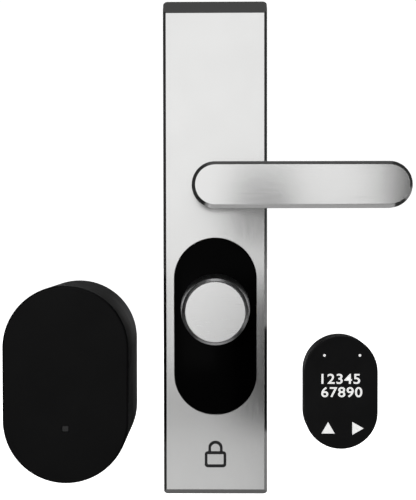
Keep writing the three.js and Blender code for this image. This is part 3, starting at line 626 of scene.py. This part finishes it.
def build_motor_cover():
    outline = oval(motor_low, motor_high, 64)
    front, back, wall, edge, far = motor_low.y, motor_high.y, 2.2 * MM, 1.4 * MM, 12 * MM
    outer = rounded([(far, front), (0, front), (0, back), (wall, back)], edge, 6)
    inner = rounded([(wall, back - 0.5 * MM), (wall, front + wall), (far, front + wall)], MM, 4)
    cover = solid("motor_cover_shell", swept(outline, outer + inner))
    lens_low, lens_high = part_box("status_light")
    hole, gap = round_box(lens_low, lens_high, 0.7 * MM), 0.15 * MM
    boolean(cover, [swept(hole, [(-gap, front - MM), (-gap, front + 4 * MM)])])
    place(cover, "motor_housing", black_satin, "black_satin", "motor_cover")
    face = lens_low.y + 0.1 * MM
    lens = rounded([(MM, face), (0, face), (0, lens_high.y), (MM, lens_high.y)], 0.25 * MM)
    piece_from("status_light_lens", [swept(hole, lens)], "motor_housing", light_lens, "light_lens",
               "status_light")


build_motor_cover()


# ---- Keypad ----

def build_keypad():
    outline = oval(glass_low, glass_high, 64)
    glass = rounded([(9 * MM, glass_low.y), (0, glass_low.y), (0, glass_high.y), (9 * MM, glass_high.y)],
                    0.5 * MM, 5)
    piece_from("keypad_glass_front", [swept(outline, glass)], "keypad", black_glass, "black_gloss",
               "keypad_glass")


build_keypad()


# ---- Signs on the keypad ----

def printed(name, points_list):
    """Flat shapes printed on the keypad's glass, with a painted glow, from (x, z) offsets to the glass's
    middle.
    """
    parts = []
    for points in points_list:
        front = [(keypad_middle.x + x, glass_low.y - PRINT, keypad_middle.z + z) for x, z in points]
        back = [(x, glass_low.y + PRINT, z) for x, _, z in front]
        parts.append(skin([front, back]))
    piece_from(name, parts, "keypad", print_with_painted_glow, "black_gloss")


def triangle(x, z, radius, heading):
    return [(x + radius * cos(a), z + radius * sin(a))
            for a in (heading, heading + radians(120), heading + radians(240))]


def build_digits(name, body, width, x, z):
    """A row of digits, as wide as asked for, standing on the height z."""
    font = bpy.data.curves.new(name, "FONT")
    font.body = body
    font.size = 8.4 * MM
    font.extrude = PRINT
    font.offset = 0.12 * MM
    font.space_character = 1.08
    font.resolution_u = 6
    text = add_object(name + "_text", font)
    bpy.context.view_layer.update()
    mesh = bpy.data.meshes.new_from_object(text.evaluated_get(bpy.context.evaluated_depsgraph_get()))
    bpy.data.objects.remove(text)
    xs = [v.co.x for v in mesh.vertices]
    scale = width / (max(xs) - min(xs))
    shift = Vector((keypad_middle.x + x - scale * (max(xs) + min(xs)) / 2, glass_low.y, keypad_middle.z + z))
    upright = Matrix.Rotation(radians(90), 4, "X")
    mesh.transform(Matrix.Translation(shift) @ Matrix.Diagonal((scale, 1, 1, 1)) @ upright)
    bm = bmesh.new()
    bm.from_mesh(mesh)
    place(add_object(name, write_clean(bm, mesh)), "keypad", print_with_painted_glow, "black_gloss", angle=20)


build_digits("keypad_digits_upper", "12345", 23.2 * MM, -0.2 * MM, 5.4 * MM)
build_digits("keypad_digits_lower", "67890", 24.6 * MM, 0.4 * MM, -2.6 * MM)
printed("keypad_arrow_up", [triangle(-7.8 * MM, -22.4 * MM, 4.6 * MM, radians(90))])
printed("keypad_arrow_right", [triangle(9 * MM, -21.6 * MM, 4.5 * MM, 0)])
printed("keypad_marks", [disc(-10 * MM, 22.4 * MM, 0.8 * MM), disc(11.2 * MM, 22.4 * MM, 0.8 * MM)])


# ---- Smooth pieces in place of CAD nodes that have few sides ----

def spot(name):
    """Where a turned node stands: the x and z of its axis and its lowest and highest y."""
    low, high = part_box(name)
    return (low.x + high.x) / 2, (low.z + high.z) / 2, low.y, high.y


def fine(name, joined, body, material, slot, cuts=()):
    """A piece with round edges that stands for the CAD node of its name."""
    made = solid(name + "_fine", joined[0])
    for other in joined[1:]:
        boolean(made, [other], "UNION")
    for cutter in cuts:
        boolean(made, [cutter])
    place(made, body, material, slot, name)


def threaded(x, z, start, end, radius, pitch, depth, tip=None):
    """A screw's thread along Y. It fades in and out over one turn, and runs to a point if tip is given."""
    around, per_turn = 28, 6
    count = int((end - start) / pitch * per_turn)
    rings = []
    for j in range(count + 1):
        y = start + (end - start) * j / count
        fade = max(0.0, min(1.0, (y - start) / pitch, (end - y) / pitch))
        core = radius if tip is None or y < tip else radius * max(0.12, (end - y) / (end - tip))
        ring = []
        for i in range(around):
            share = (y / pitch - i / around) % 1.0
            r = core - depth * fade * (1 - abs(2 * share - 1))
            angle = 2 * pi * i / around
            ring.append((x + r * cos(angle), y, z + r * sin(angle)))
        rings.append(ring)
    return skin(rings)


def build_backing_plate():
    inset, floor, rim, end_rim = 2.1 * MM, -4 * MM, 2.4 * MM, 8.4 * MM
    block = plate_block(inset, 0)
    bevel(block, 0.5 * MM, 2)
    bake(block)
    margin = Vector((inset + rim, 0, inset + end_rim))
    pocket = round_box(plate_low + margin, plate_high - margin, 3 * MM)
    boolean(block, [swept(pocket, [(0, AHEAD), (0, floor)])])
    x, z, _, _ = spot("spring_housing")
    cuts = [rod(x, z, 19.5, AHEAD, MM)]
    half = Vector((14 * MM, 0, 8 * MM))
    for height in (127 * MM, 74 * MM, -86 * MM):
        centre = Vector((0, 0, height))
        opening = oval(centre - half, centre + half, 16)
        cuts.append(swept(opening, [(0, AHEAD), (0, -MM), (-0.5 * MM, -0.5 * MM), (-0.5 * MM, MM)]))
    for name in ("fixing_post_upper", "fixing_post_lower"):
        x, z, _, _ = spot(name)
        cuts.append(rod(x, z, 5.4, AHEAD, MM))
    for i in range(4):
        x, z, _, _ = spot(f"cover_screw_{i + 1}")
        stepped = [(1.6 * MM, AHEAD), (1.6 * MM, -2.6 * MM), (3 * MM, -2.6 * MM), (3 * MM, MM)]
        cuts.append(turned(x, z, stepped, count=48))
    ejector_marks = ((-18, 142), (18, 142), (-18, -62), (18, -62), (0, -100))
    for x, z in ejector_marks:
        cuts.append(rod(x * MM, z * MM, 2.6, -0.25 * MM, MM, 32))
    boolean(block, cuts)
    for cutter in cylinder_body(0.7, AHEAD, MM):
        boolean(block, [cutter])
    block.name = "backing_plate_fine"
    place(block, "door_side", cast_zinc, "cast_zinc", "backing_plate")


def cylinder_body(grow, front, back):
    """The barrel and the leg of a European profile cylinder, grown by a gap in millimetres."""
    x, z = knob_axis.x, knob_axis.z
    low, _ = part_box("cylinder_body")
    half, gap = (5 + grow) * MM, grow * MM
    leg = oval((x - half, 0, low.z - gap), (x + half, 0, z), 24)
    return rod(x, z, 8.5 + grow, front, back), swept(leg, [(0, front), (0, back)])


def build_cylinder():
    x, z = knob_axis.x, knob_axis.z
    low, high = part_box("cylinder_body")
    barrel, leg = cylinder_body(0, low.y, high.y)
    cam_low, cam_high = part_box("cylinder_cam")
    bore_r, clearance = 6.5, 0.3 * MM
    screw = disc(middle(cam_low, cam_high).y, low.z + 4.2 * MM, 2.5 * MM, 32)
    body = solid("cylinder_body_fine", barrel)
    boolean(body, [leg], "UNION")
    boolean(body, [rod(x, z, bore_r, low.y - MM, high.y + MM)])
    boolean(body, [rod(x, z, 15.8, cam_low.y - clearance, cam_high.y + clearance)])
    boolean(body, [prism_x(screw, x - 20 * MM, x + 20 * MM)])
    bevel(body, 0.35 * MM, 2, 40)
    place(body, "door_side", cylinder_nickel, "zinc_plated", "cylinder_body")
    rotor_low, rotor_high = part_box("cylinder_rotor")
    blade = round_box((x - 4.5 * MM, 0, z - 1.5 * MM), (x + 4.5 * MM, 0, z + 1.5 * MM), 0.4 * MM)
    rotor_r, end = 6.2, high.y + 0.6 * MM
    plug = lathe(x, z, [(0.1, rotor_low.y), (rotor_r, rotor_low.y), (rotor_r, end), (0.1, end)], 0.35)
    tail = swept(blade, [(0, high.y), (0, rotor_high.y - 0.6 * MM), (0.6 * MM, rotor_high.y)])
    fine("cylinder_rotor", [plug, tail], "knob", brass, "brass")
    front, back, soft = cam_low.y, cam_high.y, 0.4 * MM
    ring = lathe(x, z, [(bore_r, front), (8.3, front), (8.3, back), (bore_r, back), (bore_r, front + MM)],
                 0.3, closed=True)
    arm = oval((x - 3.5 * MM, 0, cam_low.z), (x + 3.5 * MM, 0, z - 3 * MM), 16)
    arm_body = swept(arm, [(soft, front), (0, front + soft), (0, back - soft), (soft, back)])
    fine("cylinder_cam", [ring, arm_body], "knob", cast_zinc, "cast_zinc",
         [rod(x, z, bore_r, front - MM, back + MM)])


def build_fixings():
    for name in ("upper", "lower"):
        post, bolt = "fixing_post_" + name, "through_bolt_" + name
        x, z, y0, y1 = spot(post)
        head_back = y0 + 2.1 * MM
        tube = lathe(x, z, [(2.9, y0), (7.6, y0), (7.6, head_back), (5, head_back), (5, y1), (2.9, y1),
                            (2.9, y0 + MM)], 0.4, closed=True)
        fine(post, [tube], "door_side", zinc_plated, "zinc_plated")
        x, z, y0, y1 = spot(bolt)
        head = lathe(x, z, [(0.1, y1 - 3.5 * MM), (5.2, y1 - 3.5 * MM), (5.2, y1), (0.1, y1)], 0.6)
        made = solid(bolt + "_fine", head)
        boolean(made, [rod(x, z, 2.4, y1 - 2.3 * MM, y1 + MM, 6)])
        join_part(made, threaded(x, z, y0, y1 - 3.4 * MM, 2.6 * MM, 0.8 * MM, 0.42 * MM))
        place(made, "door_side", zinc_plated, "zinc_plated", bolt, angle=50)
    for i in range(4):
        name = f"cover_screw_{i + 1}"
        x, z, y0, y1 = spot(name)
        neck = y1 - 1.8 * MM
        profile = [(0.1, y0), (1.2, y0), (1.2, neck), (2.6, neck), (2.6, y1), (0.1, y1)]
        screw = lathe(x, z, profile, 0.25, count=40)
        fine(name, [screw], "door_side", zinc_plated, "zinc_plated", [rod(x, z, 1.2, y1 - MM, y1 + MM, 6)])
    screws = [(f"motor_mount_screw_{i + 1}", 4.1, 2.0, 1.6, 2.3) for i in range(3)]
    screws += [(f"wall_plate_screw_{i + 1}", 3.4, 1.6, 1.3, 1.7) for i in range(2)]
    for name, head_r, shank_r, socket_r, sink in screws:
        x, z, y0, y1 = spot(name)
        neck = y0 + sink * MM
        profile = [(0.1, y0), (head_r, y0), (head_r, y0 + 0.15 * MM), (shank_r * 0.8, neck), (0.1, neck)]
        head = lathe(x, z, profile, 0.12, count=48)
        made = solid(name + "_fine", head)
        boolean(made, [rod(x, z, socket_r, y0 - MM, y0 + 0.75 * sink * MM, 6)])
        thread = threaded(x, z, neck - 0.3 * MM, y1, shank_r * MM, 1.5 * MM, 0.5 * MM, y1 - 6 * MM)
        join_part(made, thread)
        place(made, "door_side", zinc_plated, "zinc_plated", name, angle=50)


def build_cassette():
    x, z, y0, y1 = spot("spring_housing")
    stop_r, peg_r, half = 16.2 * MM, 14.6 * MM, 4.3 * MM
    cup = lathe(x, z, [(8.5, y0), (19, y0), (19, y1), (17.6, y1), (17.6, y0 + MM), (8.5, y0 + MM),
                       (8.5, y0 + 0.5 * MM)], 0.3, closed=True)
    joined = [cup]
    for degrees in (-12, 52):
        a = radians(degrees)
        stop_x, stop_z = x + stop_r * sin(a), z + stop_r * cos(a)
        joined.append(rod(stop_x, stop_z, 1.5, y0 + 0.5 * MM, -2.9 * MM, 24))
    fine("spring_housing", joined, "door_side", cast_zinc, "cast_zinc")
    _, _, y0, y1 = spot("spring_cam")
    plate = lathe(x, z, [(0.1, -2.3 * MM), (16, -2.3 * MM), (16, y1), (0.1, y1)], 0.3)
    peg = rod(x, z + peg_r, 1.1, y0, -2 * MM, 24)
    square = round_box((x - half, 0, z - half), (x + half, 0, z + half), 0.3 * MM)
    fine("spring_cam", [plate, peg], "lever", cast_zinc, "cast_zinc",
         [swept(square, [(0, -3 * MM), (0, MM)])])


build_backing_plate()
build_cylinder()
build_fixings()
build_cassette()


# ---- Inside the motor unit ----

motor_outline = oval(motor_low, motor_high)


def build_motor_base():
    low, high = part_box("motor_base")
    gap, soft, edge = 2.5 * MM, 0.4 * MM, 0.3 * MM
    profile = [(gap + soft, low.y), (gap, low.y + soft), (gap, high.y - edge), (gap + edge, high.y)]
    body = swept(motor_outline, profile)
    x, z, _, _ = spot("drive_adapter")
    cuts = [turned(x, z, [(13 * MM, -6 * MM), (13 * MM, -0.8 * MM), (13.6 * MM, MM)])]
    for i in range(3):
        x, z, y0, _ = spot(f"motor_mount_screw_{i + 1}")
        sunk = [(4.6 * MM, y0 - MM), (4.6 * MM, y0), (2.4 * MM, y0 + 2.4 * MM), (2.4 * MM, MM)]
        cuts.append(turned(x, z, sunk))
    x, z, y0, _ = spot("idler_axle")
    cuts.append(rod(x, z, 1.8, y0, -1.5 * MM, 32))
    fine("motor_base", [body], "door_side", grey_plastic, "grey_plastic", cuts)


def build_chassis():
    low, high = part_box("gear_chassis")
    front, back, rim, gap, soft = -16 * MM, -14 * MM, -26 * MM, 3.1 * MM, 0.4 * MM
    sunk = front + 0.5 * MM  # the cups and posts end inside the floor
    joined = [swept(motor_outline, [(gap + soft, front), (gap, front + soft), (gap, back)])]
    cuts = []
    for i in range(4):
        x, z, _, _ = spot(f"battery_{i + 1}")
        joined.append(turned(x, z, [(9.5 * MM, rim), (9.8 * MM, rim + 0.3 * MM), (9.8 * MM, sunk)]))
        cuts.append(turned(x, z, [(9.1 * MM, rim - MM), (8.8 * MM, rim + 0.4 * MM), (8.8 * MM, front)]))
    x, z = motor_middle.x, motor_middle.z
    for dx, dz in BOARD_POSTS:
        joined.append(turned(x + dx * MM, z + dz * MM, [(2.2 * MM, low.y), (2.6 * MM, sunk)], count=32))
    standoffs = ((22, 38), (-22, 38), (25, -30), (-25, -30))
    for dx, dz in standoffs:
        joined.append(rod(x + dx * MM, z + dz * MM, 2.9, back - 0.5 * MM, high.y, 32))
    for name, radius in (("drive_motor", 3.9), ("drive_adapter", 4.4), ("idler_axle", 1.8)):
        x, z, _, _ = spot(name)
        cuts.append(rod(x, z, radius, front - MM, back + MM, 48))
    fine("gear_chassis", joined, "door_side", grey_plastic, "grey_plastic", cuts)


def build_batteries():
    for i in range(4):
        name = f"battery_{i + 1}"
        x, z, y0, y1 = spot(name)
        step, film_end = y0 + 1.9 * MM, y1 - 0.25 * MM
        can = lathe(x, z, [(0.1, y0), (3.2, y0), (3.2, y0 + 1.4 * MM), (6.9, y0 + 1.5 * MM), (7.1, step),
                           (8.2, step), (8.2, y1), (0.1, y1)], 0.4)
        piece_from(name + "_can", [can], "door_side", steel_can, "battery_wrap")
        film = lathe(x, z, [(7.3, y0 + 1.75 * MM), (8.4, y0 + 1.75 * MM), (8.4, film_end), (7.9, film_end),
                            (7.9, y0 + 2.2 * MM), (7.3, y0 + 2.2 * MM)], 0.3, closed=True)
        fine(name, [film], "door_side", battery_film, "battery_wrap")


def build_drive():
    x, z, y0, y1 = spot("drive_motor")
    can = lathe(x, z, [(0.1, y0 + MM), (10.4, y0 + MM), (11, y0 + 1.6 * MM), (11, -28 * MM),
                       (10.6, -27.4 * MM), (10.6, -16.4 * MM), (3.5, -16.3 * MM), (3.5, y1), (1.3, y1),
                       (1.3, -20 * MM), (0.1, -20 * MM)], 0.35)
    fine("drive_motor", [can], "door_side", zinc_plated, "zinc_plated")
    cap = lathe(x, z, [(1.2, y0), (3, y0), (3, y0 + 0.7 * MM), (9.6, y0 + 0.75 * MM), (9.6, y0 + 1.1 * MM),
                       (1.2, y0 + 1.1 * MM), (1.2, y0 + 0.5 * MM)], 0.2, closed=True)
    piece_from("motor_end_cap", [cap], "door_side", black_nylon, "black_satin")
    x, z, y0, y1 = spot("drive_adapter")
    hub = lathe(x, z, [(0.1, y0), (4, y0), (4, -11.8 * MM), (9, -11.8 * MM), (9, -4.8 * MM), (12, -4.6 * MM),
                       (12, y1), (0.1, y1)], 0.3)
    slot = round_box((x - 2.5 * MM, 0, z - 7 * MM), (x + 2.5 * MM, 0, z + 7 * MM), MM)
    slot_body = swept(slot, [(0, -10 * MM), (0, y1 - 0.5 * MM), (-0.5 * MM, y1), (-0.5 * MM, MM)])
    fine("drive_adapter", [hub], "drive", zinc_plated, "zinc_plated", [slot_body])
    x, z, y0, y1 = spot("idler_axle")
    axle = lathe(x, z, [(0.1, y0), (1.5, y0), (1.5, y1), (0.1, y1)], 0.2, count=32)
    fine("idler_axle", [axle], "door_side", zinc_plated, "zinc_plated")


def build_motor_board():
    low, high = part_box("motor_board")
    front, back, gap = -50 * MM, -48.6 * MM, 3.4 * MM
    x, top = (low.x + high.x) / 2, high.z
    board = solid("motor_board_fine", swept(motor_outline, [(gap, front), (gap, back)]))
    above = [(low.x - MM, front - MM), (high.x + MM, front - MM), (high.x + MM, 0), (low.x - MM, 0)]
    boolean(board, [prism_z(above, top, top + 100 * MM)])
    place(board, "door_side", circuit_board, "circuit_board", "motor_board")

    def block(cx, cz, width, height, y0, y1):
        """A part soldered on the board: width and height are in millimetres, the rest in metres."""
        half, centre = Vector((width / 2 * MM, 0, height / 2 * MM)), Vector((cx, 0, cz))
        outline = round_box(centre - half, centre + half, 0.15 * MM, 3)
        return swept(outline, [(0.08 * MM, y0), (0, y0 + 0.08 * MM), (0, y1)])

    # Each chip's place right of the middle and below the top, its size, and its two faces.
    chips = [(-14, 13.5, 9, 9, back - 0.2 * MM, back + 1.4 * MM),
             (-14, 27.5, 6, 10, back - 0.2 * MM, back + 1.2 * MM),
             (-17, 9, 7, 7, front - 0.8 * MM, front + 0.2 * MM),
             (13, 12, 5, 6, front - 0.8 * MM, front + 0.2 * MM)]
    bodies = [block(x + right * MM, top - down * MM, *rest) for right, down, *rest in chips]
    piece_from("motor_board_chips", bodies, "door_side", chip_black, "black_satin")
    pads, ceramic = [], []
    # The legs of the two front chips: the chip's middle, the reach to a leg, the first one and the pitch.
    for right, reach, first, pitch, width, height in ((-17, 4.2, 6.2, 0.93, 1.1, 0.4),
                                                      (13, 3.1, 9.5, 0.8, 0.9, 0.35)):
        for i in range(7):
            for side in (-1, 1):
                leg_x, leg_z = x + (right + side * reach) * MM, top - (first + i * pitch) * MM
                pads.append(block(leg_x, leg_z, width, height, front - 0.2 * MM, front))
    for i in range(9):
        px, pz = x + (-9 + (i % 3) * 4.2) * MM, top - (18 + (i // 3) * 3.2) * MM
        ceramic.append(block(px, pz, 1.3, 1.1, front - 0.6 * MM, front + 0.1 * MM))
        for side in (-1, 1):
            pads.append(block(px + side * 0.9 * MM, pz, 0.5, 1.2, front - 0.62 * MM, front + 0.1 * MM))
    for dx, dz in BOARD_POSTS:
        proud = front - 0.7 * MM
        pads.append(lathe(motor_middle.x + dx * MM, motor_middle.z + dz * MM,
                          [(0.1, proud), (1.9, proud), (2.2, front), (0.1, front)], 0.15, count=32))
    piece_from("motor_board_ceramics", ceramic, "door_side", acetal, "white_plastic")
    piece_from("motor_board_pads", pads, "door_side", solder, "zinc_plated")
    light_x, light_z, _, _ = spot("status_light")
    emitter = block(light_x, light_z, 3, 2.6, front - 0.7 * MM, front)
    piece_from("light_emitter", [emitter], "door_side", print_white, "white_plastic")


build_motor_base()
build_chassis()
build_batteries()
build_drive()
build_motor_board()


# ---- Keypad's housing, cells and wall plate ----

def build_keypad_body():
    front, back, wall, far, soft = housing_low.y, housing_high.y, 1.8 * MM, 8 * MM, 0.3 * MM
    outline = oval(housing_low, housing_high)
    outer = rounded([(far, front), (0, front), (0, back), (wall, back)], soft)
    inner = rounded([(wall, back - 0.5 * MM), (wall, front + 1.2 * MM), (far, front + 1.2 * MM)], 0.5 * MM)
    view_low, view_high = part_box("keypad_display")
    grow = Vector((0.3 * MM, 0, 0.3 * MM))
    view = round_box(view_low - grow, view_high + grow, MM)
    fine("keypad_housing", [swept(outline, outer + inner)], "keypad", black_satin, "black_satin",
         [swept(view, [(0, front - MM), (0, front + 2 * MM)])])
    low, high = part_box("keypad_wall_plate")
    holes = []
    for i in range(2):
        x, z, y0, _ = spot(f"wall_plate_screw_{i + 1}")
        sunk = [(3.9 * MM, y0 - MM), (3.9 * MM, y0), (1.9 * MM, y0 + 1.8 * MM), (1.9 * MM, MM)]
        holes.append(turned(x, z, sunk))
    gap = 2.2 * MM
    plate = swept(outline, [(gap + soft, low.y), (gap, low.y + soft), (gap, high.y)])
    fine("keypad_wall_plate", [plate], "door_side", black_satin, "black_satin", holes)
    low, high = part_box("keypad_seal")
    inside, outside, nose = 1.7 * MM, 0.3 * MM, low.y + 0.1 * MM
    seal = [(outside, nose), (0.5 * MM, low.y), (1.5 * MM, low.y), (inside, nose), (inside, high.y),
            (outside, high.y)]
    fine("keypad_seal", [swept(outline, seal, closed=True)], "door_side", foam, "black_rubber")
    low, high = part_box("keypad_cell_frame")
    cells = []
    for i in range(2):
        x, z, y0, y1 = spot(f"coin_cell_{i + 1}")
        cells.append(rod(x, z, 10.3, y0 - MM, y1 + MM))
        profile = [(0.1, y0), (8.7, y0), (8.9, y0 + 0.35 * MM), (10, y0 + 0.4 * MM), (10, y1), (0.1, y1)]
        cell = lathe(x, z, profile, 0.3)
        fine(f"coin_cell_{i + 1}", [cell], "keypad", steel_can, "zinc_plated")
    frame_body = swept(oval(low, high, 32), [(0, low.y), (0, high.y - soft), (soft, high.y)])
    fine("keypad_cell_frame", [frame_body], "keypad", grey_plastic, "grey_plastic", cells)


build_keypad_body()


# ---- CAD nodes that are shown as they are ----

KEPT = {
    "lever_set_screw": black_oxide, "spindle": zinc_plated, "lever_circlip": spring_steel,
    "return_spring": spring_steel, "knob_hub": cast_zinc, "knob_screw": zinc_plated, "drive_gear": acetal,
    "idler_gear": acetal, "motor_pinion": brass, "keypad_display": black_glass,
    "keypad_board": circuit_board,
}


def dress(name, material):
    """A CAD node keeps its shape. Its edges are softened and it gets its material."""
    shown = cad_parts[name]
    shown.data.materials.clear()
    shown.data.materials.append(material)
    smooth(shown, 35)
    bevel(shown, 0.15 * MM, 2, 40)


for kept_name, kept_material in KEPT.items():
    dress(kept_name, kept_material)


# ---- Stage, lights and camera ----

def build_floor():
    """A pale floor below the set. Only the camera sees it: it neither lights the set nor shows in it."""
    half, level = 6.0, cad_low.z - 0.12
    corners = [(-half, -half, level), (half, -half, level), (half, half, level), (-half, half, level)]
    mesh = bpy.data.meshes.new("floor")
    mesh.from_pydata(corners, [], [(0, 1, 2, 3)])
    floor = add_object("floor", mesh)
    material = finish("floor_pale", (0.93, 0.93, 0.93), 0, 0.8, mottle=0.01)
    shader = material.node_tree.nodes["Principled BSDF"]
    shader.inputs["Emission Color"].default_value = (1, 1, 1, 1)
    shader.inputs["Emission Strength"].default_value = 1.2
    mesh.materials.append(material)
    floor.visible_glossy = False
    floor.visible_diffuse = False


def aim(thing, centre, target):
    thing.location = centre
    thing.rotation_euler = (Vector(target) - Vector(centre)).to_track_quat("-Z", "Y").to_euler()


def add_panel(name, centre, target, size, radiance):
    """A soft box: a glowing rectangle that faces its target."""
    lamp = bpy.data.lights.new(name, "AREA")
    lamp.shape = "RECTANGLE"
    lamp.size, lamp.size_y = size
    lamp.energy = radiance * pi * size[0] * size[1]
    aim(add_object(name, lamp), centre, target)


def build_flag(name, centre, target, size):
    """A black card that keeps light off and shows as a dark patch in the steel."""
    w, h = size[0] / 2, size[1] / 2
    mesh = bpy.data.meshes.new(name)
    mesh.from_pydata([(-w, -h, 0), (w, -h, 0), (w, h, 0), (-w, h, 0)], [], [(0, 1, 2, 3)])
    card = add_object(name, mesh)
    aim(card, centre, target)
    mesh.materials.append(flag_black)
    card.visible_camera = False


def build_world():
    """White where the camera looks past the set, and nearly dark to every other ray."""
    world = bpy.data.worlds.new("studio")
    bpy.context.scene.world = world
    world.use_nodes = True
    tree = world.node_tree
    tree.nodes.clear()
    seen = node(tree, "Background", {"Color": (1, 1, 1, 1), "Strength": 1.05})
    dim = node(tree, "Background", {"Color": (1, 1, 1, 1), "Strength": 0.035})
    ray = node(tree, "LightPath").outputs["Is Camera Ray"]
    inputs = {0: ray, 1: dim.outputs["Background"], 2: seen.outputs["Background"]}
    both = node(tree, "MixShader", inputs)
    node(tree, "OutputWorld", {"Surface": both.outputs["Shader"]})


def build_camera():
    """The camera that was fitted to the edges of the three units in the photograph."""
    data = bpy.data.cameras.new("camera")
    data.sensor_width = 36.0
    data.lens = 60.52
    data.clip_start, data.clip_end = 0.01, 50
    made = add_object("camera", data)
    made.location = (0.00123, -0.5169, 0.0093)
    pitch, yaw, roll = radians(-1.164), radians(0.631), radians(0.085)
    made.rotation_euler = (pi / 2 + pitch, roll, yaw)
    bpy.context.scene.camera = made


# Name, centre, target, size and radiance.
PANELS = (
    ("key_panel", (-0.48, -1.7, 0.75), (-0.48, 0, 0.75), (1.84, 1.7), 1.12),
    ("mid_panel", (-0.64, -1.7, -0.3), (-0.64, 0, -0.3), (1.52, 0.4), 0.48),
    ("knob_panel", (-0.05, -1.65, -0.22), (-0.05, 0, -0.22), (0.09, 0.24), 1.3),
    ("low_panel", (-0.6, -1.7, -0.75), (-0.6, 0, -0.75), (1.6, 0.5), 0.75),
    ("right_panel", (1.2, -1.7, 0.1), (0, 0, 0.1), (0.7, 1.2), 0.9),
    ("left_low_panel", (-1.43, -0.82, -0.73), (0, 0, 0), (1.0, 0.6), 0.45),
    ("right_low_panel", (1.43, -0.82, -0.73), (0, 0, 0), (1.0, 0.6), 0.45),
    ("floor_panel", (0, -0.35, -1.2), (0, -0.35, 0), (1.4, 0.9), 0.42),
    ("floor_rear_panel", (0, 0.4, -1.2), (0, 0.4, 0), (1.4, 0.5), 0.12),
    ("top_panel", (0, 0, 1.5), (0, 0, 0), (1.2, 0.8), 0.05),
    ("top_strip", (0.0, -1.0, 1.65), (0, 0, 0), (0.7, 0.7), 1.3),
    ("bottom_strip", (0.0, -0.95, -1.6), (0, 0, 0), (0.7, 0.7), 0.95),
    ("side_panel", (1.6, 0, -0.5), (0, 0, -0.5), (1.0, 0.9), 0.22),
    ("rear_right_panel", (1.05, 1.35, 0.35), (0, 0, 0), (0.8, 1.2), 2.6),
    ("rear_left_panel", (-1.05, 1.35, 0.35), (0, 0, 0), (0.8, 1.2), 2.2),
    ("rear_top_panel", (0, 1.2, 1.35), (0, 0, 0), (1.2, 0.8), 2.0),
    ("rear_low_panel", (0, 1.2, -1.3), (0, 0, 0), (1.2, 0.6), 1.0),
)

build_floor()
build_world()
build_camera()
for panel in PANELS:
    add_panel(*panel)
build_flag("lever_flag", (0.073, -0.9, 0.041), (0.073, 0, 0.041), (0.092, 0.094))
build_flag("plate_flag", (0.14, -0.9, -0.205), (0.14, 0, -0.205), (0.226, 0.206))
bpy.context.scene.view_settings.view_transform = "Standard"
